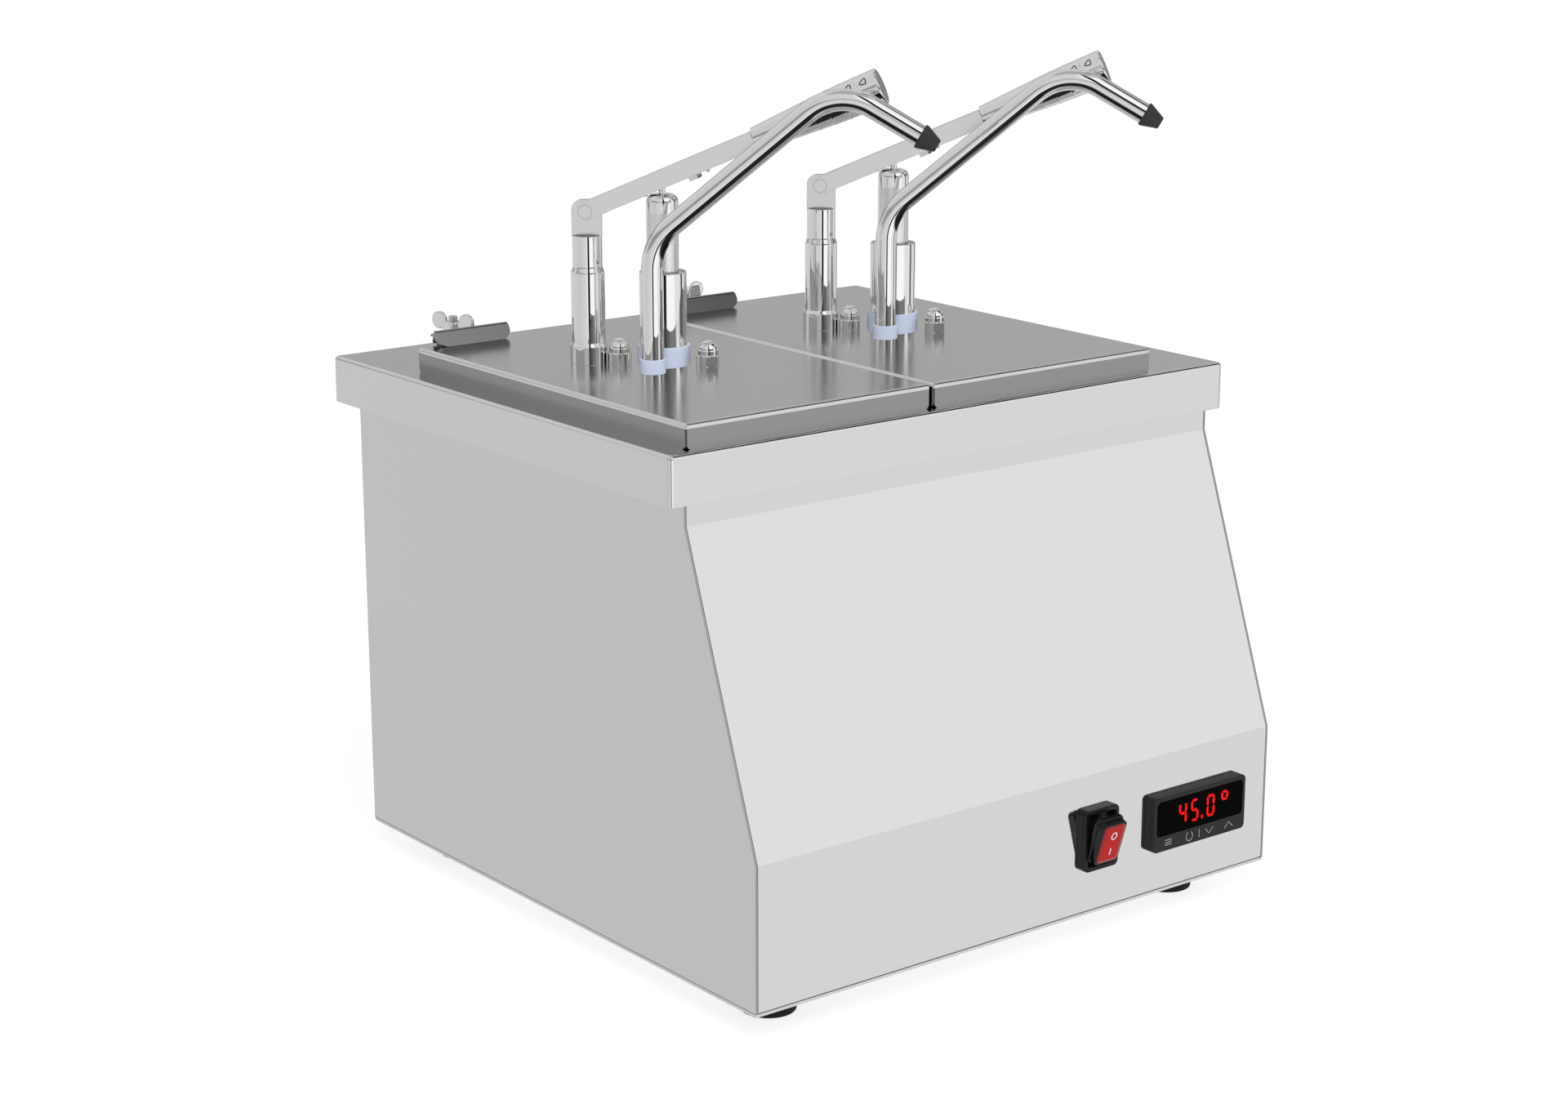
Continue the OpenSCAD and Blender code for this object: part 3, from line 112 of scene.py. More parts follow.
def shift(place, dx, dy=0.0):
    return lambda p: place((p[0] + dx, p[1] + dy, p[2]))


def crosswise(place, dx=0.0, dz=0.0):
    """Local Y upwards and local Z across, from a point that is dx along and dz up."""
    return lambda p: place((p[0] + dx, p[2], p[1] + dz))


def lengthwise(place, dx=0.0):
    """Local Z along the place's X, from dx."""
    return lambda p: place((dx + p[2], p[0], p[1]))


# Finishes
class Graph:
    """Short way of writing shader nodes."""

    def __init__(self, tree):
        self.tree = tree

    def add(self, kind, **values):
        node = self.tree.nodes.new(kind)
        for k, v in values.items():
            setattr(node, k, v)
        return node

    def put(self, socket, value):
        if isinstance(value, bpy.types.NodeSocket):
            self.tree.links.new(value, socket)
        else:
            socket.default_value = value

    def math(self, op, a, b=0.0, c=0.0):
        node = self.add("ShaderNodeMath", operation=op)
        for socket, value in zip(node.inputs, (a, b, c)):
            self.put(socket, value)
        return node.outputs[0]

    def step(self, value, low, high):
        """0 at low, 1 at high, smooth between."""
        node = self.add("ShaderNodeMapRange", interpolation_type="SMOOTHSTEP")
        self.put(node.inputs["Value"], value)
        node.inputs["From Min"].default_value = low
        node.inputs["From Max"].default_value = high
        return node.outputs["Result"]

    def patch(self, value, low, high, soft):
        """1 between low and high, 0 outside."""
        above = self.step(value, low - soft, low + soft)
        below = self.math("SUBTRACT", 1.0, self.step(value, high - soft, high + soft))
        return self.math("MULTIPLY", above, below)

    def mix(self, factor, a, b):
        return self.math("MULTIPLY_ADD", factor, self.math("SUBTRACT", b, a), a)

    def split(self, vector):
        """X, Y and Z of a vector."""
        node = self.add("ShaderNodeSeparateXYZ")
        self.put(node.inputs["Vector"], vector)
        return node.outputs

    def normal(self):
        return self.split(self.add("ShaderNodeNewGeometry").outputs["Normal"])

    def coords(self, kind="Object"):
        return self.add("ShaderNodeTexCoord").outputs[kind]

    def mapped(self, key, values):
        """Object coordinates with their scale or rotation changed."""
        node = self.add("ShaderNodeMapping")
        node.inputs[key].default_value = values
        self.put(node.inputs["Vector"], self.coords())
        return node.outputs["Vector"]

    def shader(self, socket):
        return self.tree.nodes["Principled BSDF"].inputs[socket]

    def paint(self, tone):
        """Base colour of an even grey whose value is a socket."""
        colour = self.add("ShaderNodeCombineColor")
        for k in range(3):
            self.put(colour.inputs[k], tone)
        self.put(self.shader("Base Color"), colour.outputs["Color"])

    def bump(self, height, strength, depth):
        node = self.add("ShaderNodeBump")
        node.inputs["Strength"].default_value = strength
        node.inputs["Distance"].default_value = depth
        self.put(node.inputs["Height"], height)
        self.put(self.shader("Normal"), node.outputs["Normal"])

    def noise(self, scale, stretch):
        node = self.add("ShaderNodeTexNoise")
        node.inputs["Scale"].default_value = 1.0
        node.inputs["Detail"].default_value = 2.0
        self.put(node.inputs["Vector"], self.mapped("Scale", [scale * s for s in stretch]))
        return node.outputs["Fac"]


def finish(name, colour, metallic=0.0, rough=0.4, spread=0.0, grain=400.0, stretch=(1, 1, 1), bump=0.0,
           bump_mm=0.02, **sockets):
    """A finish whose roughness, and on request its bump, follows a fine grain."""
    mat = bpy.data.materials.new(name)
    mat.use_nodes = True
    graph = Graph(mat.node_tree)
    graph.put(graph.shader("Base Color"), (*colour, 1))
    graph.put(graph.shader("Metallic"), metallic)
    graph.put(graph.shader("Roughness"), rough)
    for key, value in sockets.items():
        graph.put(graph.shader(key.replace("_", " ")), value)
    if spread or bump:
        fac = graph.noise(grain, stretch)
    if spread:
        low = max(rough - spread, 0.0)
        graph.put(graph.shader("Roughness"), graph.math("MULTIPLY_ADD", fac, 2 * spread, low))
    if bump:
        graph.bump(fac, bump, bump_mm / 1000)
    return mat


def grey(v):
    return (v, v, v)


BRUSH_Z = (1, 1, 0.03)
BRUSH_X = (0.03, 1, 1)
casing_steel = finish("casing_steel", grey(0.79), 1, 0.13, 0.02, 900, BRUSH_Z)
front_steel = finish("front_steel", grey(0.815), 1, 0.06, 0.012, 900, BRUSH_Z)
deck_steel = finish("deck_steel", grey(0.83), 1, 0.12, 0.02, 900, BRUSH_X)
lid_steel = finish("lid_steel", grey(0.80), 1, 0.19, 0.02, 900, BRUSH_X)
# the lids' upright flanges: the lid's steel made darker, as painted shade
lid_flange_shade = finish("lid_flange_shade", grey(0.36), 1, 0.22, 0.02, 900, BRUSH_X)
clamp_steel = finish("clamp_steel", grey(0.42), 1, 0.16, 0.02, 900, BRUSH_X)
lever_steel = finish("lever_steel", grey(0.88), 1, 0.20, 0.03, 1200, (1, 1, 0.2))
# near-black steel used as painted shade: the post's top below the lever's fork, and the grip's triangle
# outlines
painted_shade_steel = finish("painted_shade_steel", grey(0.10), 1, 0.30, 0.04, 1200)
bright_steel = finish("bright_steel", grey(0.78), 1, 0.16, 0.03, 1200)
chrome = finish("chrome", grey(0.93), 1, 0.025, 0.01, 300)
plated = finish("plated", grey(0.90), 1, 0.14, 0.05, 1900, bump=1.0, bump_mm=0.16)
pan_steel = finish("pan_steel", grey(0.80), 0.65, 0.34, 0.04, 900, BRUSH_X)
element_metal = finish("element_metal", (0.23, 0.24, 0.25), 1, 0.42, 0.06, 500, bump=0.2)
foot_rubber = finish("foot_rubber", grey(0.010), 0, 0.7, 0.05, 700, bump=0.15, Specular_IOR_Level=0.25)
boot_rubber = finish("boot_rubber", grey(0.004), 0, 0.13, 0.03, 900, Specular_IOR_Level=0.35)
seal_rubber = finish("seal_rubber", grey(0.03), 0, 0.5, 0.05, 700)
nozzle_rubber = finish("nozzle_rubber", grey(0.016), 0, 0.45, 0.05, 700, bump=0.15)
black_plastic = finish("black_plastic", grey(0.007), 0, 0.26, 0.04, 1500, bump=0.05,
                       Specular_IOR_Level=0.25)
case_plastic = finish("case_plastic", grey(0.016), 0, 0.42, 0.04, 1500, bump=0.1, Specular_IOR_Level=0.2)
ring_plastic = finish("ring_plastic", (0.60, 0.66, 0.82), 0, 0.42, 0.05, 600, bump=0.1)
valve_plastic = finish("valve_plastic", (0.80, 0.80, 0.77), 0, 0.35, 0.04, 500)
display_glass = finish("display_glass", grey(0.0004), 0, 0.06, 0.01, 200, Specular_IOR_Level=0.02)
print_grey = finish("print_grey", grey(0.42), 0, 0.5, 0.04, 800)
print_white = finish("print_white", grey(0.86), 0, 0.4, 0.04, 800)
grip_end = finish("grip_end", grey(0.36), 1, 0.35, 0.05, 800)
board_green = finish("board_green", (0.03, 0.17, 0.07), 0, 0.45, 0.05, 400)
display_red = finish("display_red", (0.3, 0.0, 0.0), 0, 0.5, 0.02, 300, Specular_IOR_Level=0.0,
                     Emission_Color=(1.0, 0.012, 0.009, 1), Emission_Strength=1.0)
lens_rim = finish("lens_rim", (0.34, 0.004, 0.006), 0, 0.10, 0.02, 300, Specular_IOR_Level=0.4)


def shell_material():
    """Casing sheet: painted shade on every face that looks to the front, which darkens its front cut edges,
    and a thin joint line above the base plate.
    """
    sheet, joint_tone, front_shade_tone = 0.79, 0.30, 0.40
    mat = finish("shell_steel", grey(sheet), 1, 0.13, 0.02, 900, BRUSH_Z)
    graph = Graph(mat.node_tree)
    # painted shade: faces turned to the front, the sheet's front cut edges among them, get a darker tone
    front_face_shade = graph.step(graph.math("MULTIPLY", graph.normal()["Y"], -1.0), 0.75, 0.9)
    joint_low, joint_high = 0.0208, 0.0216
    joint = graph.patch(graph.split(graph.coords())["Z"], joint_low, joint_high, 0.0001)
    graph.paint(graph.mix(front_face_shade, graph.mix(joint, sheet, joint_tone), front_shade_tone))
    return mat


def spout_material():
    """Chrome tube, with a painted dark reflection in a band along its underside."""
    bright, under_reflection_tone = 0.93, 0.02
    mat = finish("chrome_painted_underside", grey(bright), 1, 0.025, 0.01, 300)
    graph = Graph(mat.node_tree)
    # painted reflection: faces that look partly downwards get a near-black base colour
    graph.paint(graph.mix(graph.patch(graph.normal()["Z"], -0.52, -0.20, 0.04), bright, under_reflection_tone))
    return mat


def lens_material():
    """Red lens with rows of small prisms under its face."""
    mat = finish("red_lens", (0.6, 0.012, 0.014), 0, 0.2, Specular_IOR_Level=0.12)
    graph = Graph(mat.node_tree)
    pitch_x, pitch_z = 0.00085, 0.00105
    between, on_dots = (0.47, 0.004, 0.006, 1), (0.66, 0.020, 0.012, 1)
    xyz = graph.split(graph.mapped("Rotation", (-ROCK_TILT, 0, 0)))
    across = graph.math("SINE", graph.math("MULTIPLY", xyz["X"], 2 * pi / pitch_x))
    up = graph.math("SINE", graph.math("MULTIPLY", xyz["Z"], 2 * pi / pitch_z))
    dots = graph.step(graph.math("ADD", across, up), 0.4, 1.7)
    blend = graph.add("ShaderNodeMix", data_type="RGBA")
    graph.put(blend.inputs["Factor"], dots)
    graph.put(blend.inputs["A"], between)
    graph.put(blend.inputs["B"], on_dots)
    graph.put(graph.shader("Base Color"), blend.outputs["Result"])
    graph.bump(dots, 0.3, 0.0001)
    return mat


shell_steel, chrome_painted_underside, red_lens = shell_material(), spout_material(), lens_material()


# Shapes: (points, faces) in local millimetres
def quarter(n):
    """Angles of a quarter turn, in n steps."""
    return [pi / 2 * k / n for k in range(n + 1)]


def heading(line, k):
    """Direction of a bent line at its point k."""
    return (Vector(line[min(k + 1, len(line) - 1)]) - Vector(line[max(k - 1, 0)])).normalized()


def fillet(points, radii, n, closed=False):
    """A bent line whose corners are rounded."""
    out, last = [], len(points) - 1
    for i, p in enumerate(points):
        r = radii if isinstance(radii, (int, float)) else radii[i]
        if (not closed and i in (0, last)) or r <= 0:
            out.append(tuple(p))
            continue
        b = Vector(p)
        u, w = Vector(points[i - 1]) - b, Vector(points[(i + 1) % len(points)]) - b
        lu, lw = u.length, w.length
        u, w = u / lu, w / lw
        half = u.angle(w) / 2
        if half > radians(89):
            out.append(tuple(p))
            continue
        t = min(r / tan(half), lu * 0.49, lw * 0.49)
        rr = t * tan(half)
        centre = b + (u + w).normalized() * (rr / sin(half))
        v0, v1 = b + u * t - centre, b + w * t - centre
        turn = v0.angle(v1)
        for k in range(n + 1):
            f = k / n
            spoke = v0 * sin((1 - f) * turn) + v1 * sin(f * turn)
            out.append(tuple(centre + spoke / sin(turn)))
    return out


def lathe(profile, n, radius=None):
    """Profile of (radius, height) turned round Z; radius(r, angle) may change it."""
    pts, faces, rows = [], [], []
    for r, z in profile:
        if r < 1e-6:
            rows.append([len(pts)])
            pts.append((0, 0, z))
            continue
        rows.append(list(range(len(pts), len(pts) + n)))
        for k in range(n):
            a = 2 * pi * k / n
            q = radius(r, a) if radius else r
            pts.append((q * cos(a), q * sin(a), z))
    for a, b in zip(rows, rows[1:]):
        for j in range(n):
            k = (j + 1) % n
            if len(a) == 1:
                faces.append((a[0], b[k], b[j]))
            elif len(b) == 1:
                faces.append((a[j], a[k], b[0]))
            else:
                faces.append((a[j], a[k], b[k], b[j]))
    return pts, faces


def turned(points, radii, steps, n):
    """Profile with rounded corners, turned round Z."""
    return lathe(fillet(points, radii, steps), n)


def rod(r, z0, z1, n):
    return lathe([(0, z0), (r, z0), (r, z1), (0, z1)], n)


def loft(rings, cap=(True, True), closed=False):
    """Skin over rings of points, with a cap on the first and the last one."""
    pts = [p for ring in rings for p in ring]
    n = len(rings[0])
    faces = []
    pairs = list(zip(range(len(rings)), range(1, len(rings))))
    if closed:
        pairs.append((len(rings) - 1, 0))
    for a, b in pairs:
        for j in range(n):
            k = (j + 1) % n
            faces.append((a * n + j, a * n + k, b * n + k, b * n + j))
    if not closed:
        if cap[0]:
            faces.append(tuple(range(n - 1, -1, -1)))
        if cap[1]:
            faces.append(tuple(range((len(rings) - 1) * n, len(rings) * n)))
    return pts, faces


def rrect(x0, y0, x1, y1, r, z=None, n=6):
    """Rectangle with rounded corners, as a ring of points."""
    r = max(r, 0.02)
    out = []
    corners = ((x1 - r, y0 + r, -90), (x1 - r, y1 - r, 0), (x0 + r, y1 - r, 90), (x0 + r, y0 + r, 180))
    for cx, cy, a0 in corners:
        for k in range(n + 1):
            a = radians(a0 + 90 * k / n)
            p = (cx + r * cos(a), cy + r * sin(a))
            out.append(p if z is None else (*p, z))
    return out


def edge(z0, z1, e, m=4):
    """(inset, height) steps of a rounded edge: from inset e at z0 to inset 0 at e away, towards z1."""
    s = 1 if z1 > z0 else -1
    return [(e * (1 - sin(a)), z0 + s * e * (1 - cos(a))) for a in quarter(m)]


def stack(x0, y0, x1, y1, r, steps, n=6):
    """Rings of a rounded rectangle, for (inset, height) steps."""
    return [rrect(x0 + i, y0 + i, x1 - i, y1 - i, r - i, z, n) for i, z in steps]


def mid_stack(w, h, r, steps, n=6, up=0.0):
    """As stack, about the middle or a point above it."""
    return stack(-w / 2, up - h / 2, w / 2, up + h / 2, r, steps, n)


def slab(x0, y0, x1, y1, z0, z1, r, e0=0.0, e1=0.0, n=6):
    """Plate with rounded corners in plan, and its lower and upper edge rounded by e0 and e1."""
    steps = edge(z0, z1, e0) if e0 else [(0, z0)]
    steps += edge(z1, z0, e1)[::-1] if e1 else [(0, z1)]
    return loft(stack(x0, y0, x1, y1, r, steps, n))


def mid_slab(w, h, z0, z1, r, e0=0.0, e1=0.0, n=6):
    return slab(-w / 2, -h / 2, w / 2, h / 2, z0, z1, r, e0, e1, n)


def prism(outline, z0, z1):
    """Flat solid between z0 and z1."""
    n = len(outline)
    pts = [(*p, z0) for p in outline] + [(*p, z1) for p in outline]
    faces = [tuple(range(n - 1, -1, -1)), tuple(range(n, 2 * n))]
    return pts, faces + [(j, (j + 1) % n, n + (j + 1) % n, n + j) for j in range(n)]


def stroke(points, w, z0, z1, closed=False):
    """Line of width w drawn through points, as a flat solid."""
    m = len(points)
    left, right = [], []
    for i in range(m):
        before = Vector(points[i - 1] if i or closed else points[i])
        after = Vector(points[(i + 1) % m] if i < m - 1 or closed else points[i])
        t = (after - before).normalized()
        side = Vector((-t.y, t.x)) * w / 2
        p = Vector(points[i])
        left.append(tuple(p + side))
        right.append(tuple(p - side))
    if not closed:
        return prism(left + right[::-1], z0, z1)
    rings = [[(*p, z) for p in line] for line, z in ((left, z0), (right, z0), (right, z1), (left, z1))]
    return loft(rings, closed=True)


def sweep(line, side, radius, n):
    """Round pipe along a flat line; side is the normal of the line's plane."""
    rings = []
    side = Vector(side)
    for k, p in enumerate(line):
        up = heading(line, k).cross(side).normalized()
        turns = [2 * pi * j / n for j in range(n)]
        rings.append([tuple(Vector(p) + radius * (up * cos(a) + side * sin(a))) for a in turns])
    return rings


def new_object(name, data):
    ob = bpy.data.objects.new(name, data)
    bpy.context.scene.collection.objects.link(ob)
    return ob


class Form:
    """Shapes gathered into one piece, in the casing frame."""

    def __init__(self):
        self.points, self.faces, self.index = [], [], []

    def add(self, shape, place=casing, mat=0):
        pts, faces = shape
        base = len(self.points)
        self.points += [row(place(p)) for p in pts]
        self.faces += [tuple(base + k for k in f) for f in faces]
        self.index += [mat] * len(faces)
        return self

    def mesh(self, name, mats=()):
        me = bpy.data.meshes.new(name)
        me.from_pydata(self.points, [], self.faces)
        for m in mats:
            me.materials.append(m)
        me.polygons.foreach_set("material_index", self.index)
        bm = bmesh.new()
        bm.from_mesh(me)
        bmesh.ops.remove_doubles(bm, verts=bm.verts, dist=2e-6)
        bmesh.ops.recalc_face_normals(bm, faces=bm.faces)
        bm.to_mesh(me)
        bm.free()
        return new_object(name, me)

    def piece(self, name, body, mats, slot, nodes=(), angle=32, bevel=0.0, cut=()):
        ob = self.mesh(name, mats)
        if cut:
            carve(ob, cut)
        ob.data.shade_smooth()
        ob.data.set_sharp_from_angle(angle=radians(angle))
        if bevel:
            add_bevel(ob, bevel)
        ob.modifiers.new("normals", "WEIGHTED_NORMAL").keep_sharp = True
        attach(ob, body)
        if nodes:
            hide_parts(*nodes)
        return ob


def add_bevel(ob, mm):
    mod = ob.modifiers.new("edges", "BEVEL")
    mod.width = mm / 1000
    mod.segments = 2
    mod.limit_method = "ANGLE"
    mod.angle_limit = radians(35)
    mod.harden_normals = True


def carve(ob, cutters):
    """Cuts the cutters' shapes out of ob's mesh."""
    tools = [c.mesh("cutter") for c in cutters]
    for tool in tools:
        mod = ob.modifiers.new("cut", "BOOLEAN")
        mod.operation, mod.solver, mod.object = "DIFFERENCE", "EXACT", tool
    bpy.context.view_layer.update()
    result = bpy.data.meshes.new_from_object(ob.evaluated_get(bpy.context.evaluated_depsgraph_get()))
    ob.modifiers.clear()
    ob.data = result
    for tool in tools:
        bpy.data.objects.remove(tool)


# Casing
def front_panel():
    """Bent sheet with rounded bends and an opening behind the switch."""
    hole_half, hole_low, hole_high = 12, 30.6, 65.0
    side, tab, tail = 1.8, 14.3, 14
    bends = [(SLOPE_RUN, CASING_H), (SLOPE_RUN, SLOPE_TOP), (0, LIP_H), (0, hole_high), (0, hole_low),
             (0, BASE_T), (tail, BASE_T)]
    line = fillet(bends, [0, 3, 3, 0, 0, 1.2, 0], 6)
    inner = []
    for k, p in enumerate(line):
        t = heading(line, k)
        inner.append((p[0] - t.y * SHEET, p[1] + t.x * SHEET))
    xs = [side, tab, SWITCH[0] - hole_half, SWITCH[0] + hole_half, CASING_W - tab, CASING_W - side]
    cols, rows_n = len(xs), len(line)
    pts = [(x, *p) for layer in (line, inner) for x in xs for p in layer]
    hole = next(k for k, p in enumerate(line) if abs(p[1] - hole_high) < 1e-6)

    def at(layer, c, k):
        return (layer * cols + c) * rows_n + k

    gone = {(2, hole)} | {(c, k) for c in (0, cols - 2) for k in range(rows_n - 3, rows_n - 1)}
    cells = {(c, k) for c in range(cols - 1) for k in range(rows_n - 1)} - gone
    faces = []
    for c, k in cells:
        faces.append((at(0, c, k), at(0, c + 1, k), at(0, c + 1, k + 1), at(0, c, k + 1)))
        faces.append((at(1, c, k), at(1, c, k + 1), at(1, c + 1, k + 1), at(1, c + 1, k)))
        sides = (((c - 1, k), (c, k), (c, k + 1)), ((c + 1, k), (c + 1, k), (c + 1, k + 1)),
                 ((c, k - 1), (c, k), (c + 1, k)), ((c, k + 1), (c, k + 1), (c + 1, k + 1)))
        for near, a, b in sides:
            if near not in cells:
                faces.append((at(0, *a), at(0, *b), at(1, *b), at(1, *a)))
    form = Form().add((pts, faces))
    form.piece("front_sheet", "casing", [front_steel], "front_steel", ["front_panel"], 25)


def filled(loops, z):
    """Flat face at height z between an outer loop and its holes."""
    bm = bmesh.new()
    edges = []
    for loop in loops:
        vs = [bm.verts.new((*p, z)) for p in loop]
        edges += [bm.edges.new((vs[k], vs[(k + 1) % len(vs)])) for k in range(len(vs))]
    bmesh.ops.triangle_fill(bm, edges=edges, use_beauty=True)
    bm.verts.index_update()
    shape = [tuple(v.co) for v in bm.verts], [tuple(v.index for v in f.verts) for f in bm.faces]
    bm.free()
    return shape


def deck():
    """Inverted tray with rounded edges, an inward rim below and the pans' cut-outs."""
    low, top, bend, corner = CASING_H, DECK_Z, 2.6, 3.0
    rim, rim_r = (9.0, 65.3, 391.0, 403.4), 0.3
    half_w, half_d, well_y, well_r = 71.5, 123, 204.5, 23
    open_ends = (False, False)

    outside = [(0.8, low), (0.25, low + 0.25), (0, low + 0.8)] + edge(top, low, bend)[::-1]
    rings = [rrect(*rim, rim_r, low + SHEET), rrect(*rim, rim_r, low)] + stack(*DECK, corner, outside)
    form = Form().add(loft(rings, open_ends))
    inside = stack(*DECK, corner, [(SHEET, low + SHEET), (SHEET, top - SHEET)])
    form.add(loft([rings[0]] + inside, open_ends))
    holes = [rrect(cx - half_w, well_y - half_d, cx + half_w, well_y + half_d, well_r) for cx in LID_CX]
    for ring, z in ((rings[-1], top), (inside[-1], top - SHEET)):
        form.add(filled([[p[:2] for p in ring], *holes], z))
    for hole in holes:
        form.add(loft([[(*p, z) for p in hole] for z in (top, top - SHEET)], open_ends))
    form.piece("deck_tray", "casing", [deck_steel], "deck_steel", ["deck"], 25)


def lids():
    """Tops with a rounded bend all round, and four flanges that leave a small relief at each corner."""
    bend, skirt, gap, r = 2.2, LID_Z - 2.9, 1.1, 2.6
    for n, x0 in enumerate(LID_X, 1):
        x1 = x0 + LID_W

        def ring(k, z):
            return rrect(x0 + k, LID_Y0 + k, x1 - k, LID_Y1 - k, max(1.3 - k, 0.3), z)

        rings = [ring(SHEET, skirt), ring(0, skirt)]
        rings += [ring(k, z) for k, z in edge(LID_Z, 0, bend, 6)[::-1]]
        form = Form().add(loft(rings, (False, True)))
        form.add(loft([ring(SHEET, skirt), ring(SHEET, LID_Z - SHEET)], (False, True)))
        across, along = (x0 + gap, x1 - gap), (LID_Y0 + gap, LID_Y1 - gap)
        for (a0, a1), place in ((across, lambda p: (p[0], LID_Y0 + p[2], p[1])),
                                (across, lambda p: (p[0], LID_Y1 - p[2], p[1])),
                                (along, lambda p: (x0 + p[2], p[0], p[1])),
                                (along, lambda p: (x1 - p[2], p[0], p[1]))):
            outline = fillet([(a0, skirt), (a0, DECK_Z), (a1, DECK_Z), (a1, skirt)], [0, r, r, 0], 6)
            # the flanges take the second material, a darker copy of the lid's steel, as painted shade
            form.add(prism(outline, 0.0, SHEET), place, 1)
        form.piece(f"lid_sheet_{n}", f"lid_body_{n}", [lid_steel, lid_flange_shade], "lid_steel", [f"lid_{n}"], 28)


def feet():
    """Rubber feet, and the domed screws under the base plate."""
    foot_x, foot_y, far, near = 42, 43, 79, 7.5
    outline = [(3, 0), (15.2, 0), (16.2, -1), (16.2, -FOOT_H), (6.5, -FOOT_H), (6.5, -10.3), (3, -10.3),
               (3, 0)]
    foot = turned(outline, [0, 0.3, 0.6, 0.8, 0.4, 0.3, 0, 0], 3, 48)
    feet_form, screws = Form(), Form()
    for x in (foot_x, CASING_W - foot_x):
        for y in (foot_y, CASING_D - foot_y):
            feet_form.add(foot, shift(casing, x, y))

    dome = [(0, -1.2), (1.7, -1.2), (1.7, -2.5)]
    dome += [(3.5 * cos(a), -2.5 * sin(a)) for a in [radians(d) for d in range(60, -1, -10)]]
    dome += [(2, 0), (2, 5.2), (0, 5.2)]
    places = [(x, y) for x in (far, CASING_W - far) for y in (near, CASING_D - near)]
    places += [(x, y) for x in (near, CASING_W - near) for y in (far, CASING_D - far)]
    for x, y in places:
        screws.add(lathe(dome, 24), shift(casing, x, y))
    feet_form.piece("foot_rubbers", "casing", [foot_rubber], "foot_rubber", ["feet"])
    screws.piece("base_screw_set", "casing", [bright_steel], "bright_steel", ["base_screws"])


# Controller and switch
def controller():
    """Panel controller: case with a groove behind its frame, ribs at the back, and a sunk window."""
    place = upright(*CTL)
    front, pane = 5.5, 4.1
    win = {"w": 73.8, "h": 22.3, "r": 3.0, "up": 3.55}

    groove = [(0, 0), (0, 2.45), (0.25, 2.6), (0.25, 2.75), (0, 2.9)]
    rings = mid_stack(78.4, 34.8, 3.0, groove + edge(front, 0, 0.5)[::-1])
    rings += mid_stack(**win, steps=[(0, front), (0, pane)])
    form = Form().add(loft(rings), place).add(mid_slab(72.4, 29.8, -58, 0.1, 1.2, 0.8), place)
    for k in range(9):
        form.add(mid_slab(1.2, 26, -54, -14, 0.4), shift(place, 8 * k - 32))
    form.piece("controller_shell", "casing", [case_plastic], "black_plastic", ["controller_case"])

    glass = Form().add(loft(mid_stack(**win, steps=[(0.1, pane), (0.1, 5.2), (0.3, 5.4)])), place)
    glass.piece("controller_window", "casing", [display_glass], "display_glass", ["display_window"])


def digits():
    """Seven-segment figures and the key symbols, as thin prints."""
    place = upright(0, 0)
    lit, keys = Form(), Form()
    t, gap = 1.55, 0.22
    lit_z, key_z, key_w = (5.41, 5.46), (5.49, 5.55), 0.4

    def bar(x0, z0, x1, z1):
        """A segment with pointed ends, upright or level."""
        a, b = (z0 + gap, z1 - gap) if x0 == x1 else (x0 + gap, x1 - gap)
        h = t / 2
        outline = [(a, 0), (a + h, h), (b - h, h), (b, 0), (b - h, -h), (a + h, -h)]
        points = [(x0 + off, along) if x0 == x1 else (along, z0 - off) for along, off in outline]
        lit.add(prism(points, *lit_z), place)

    segments = {"a": (0, 2, 1, 2), "b": (1, 1, 1, 2), "c": (1, 0, 1, 1), "d": (0, 0, 1, 0), "e": (0, 0, 0, 1),
                "f": (0, 1, 0, 2), "g": (0, 1, 1, 1)}
    low, high = 42.2 + t / 2, 56.4 - t / 2
    for x0, x1, lit_ones in ((319.0, 325.5, "fgbc"), (329.2, 335.5, "afgcd"), (342.7, 349.4, "abcdef")):
        for name in lit_ones:
            c = segments[name]
            fx = [x0 + t / 2 + k * (x1 - x0 - t) for k in (c[0], c[2])]
            fz = [low + k * (high - low) / 2 for k in (c[1], c[3])]
            bar(fx[0], fz[0], fx[1], fz[1])
    point = [(338.8, 42.0), (339.6, 43.0), (339.6, 44.2), (338.8, 45.0), (338.0, 44.2), (338.0, 43.0)]
    lit.add(prism(point, *lit_z), place)
    x0, x1, z0, z1 = 355.9, 360.3, 50.8, 55.6
    for c in ((x0, z0, x1, z0), (x0, z1, x1, z1), (x0, z0, x0, z1), (x1, z0, x1, z1)):
        bar(*c)

    menu = [[(307.6, z), (313.2, z)] for z in (32.0, 33.5, 35.0)]
    power = [(328.4 + 2.7 * sin(a), 33.3 + 2.9 * cos(a)) for a in
             [radians(v) for v in range(30, 331, 12)]]
    down = [(342.0, 35.0), (345.4, 31.4), (348.8, 35.0)]
    up = [(358.9, 31.5), (362.4, 35.1), (365.9, 31.5)]
    for line in (*menu, power, [(336.8, 30.7), (336.8, 35.9)], down, up):
        keys.add(stroke(line, key_w, *key_z), place)
    lit.piece("display_figures", "casing", [display_red], "display_glass")
    keys.piece("key_symbols", "casing", [print_grey], "black_plastic")


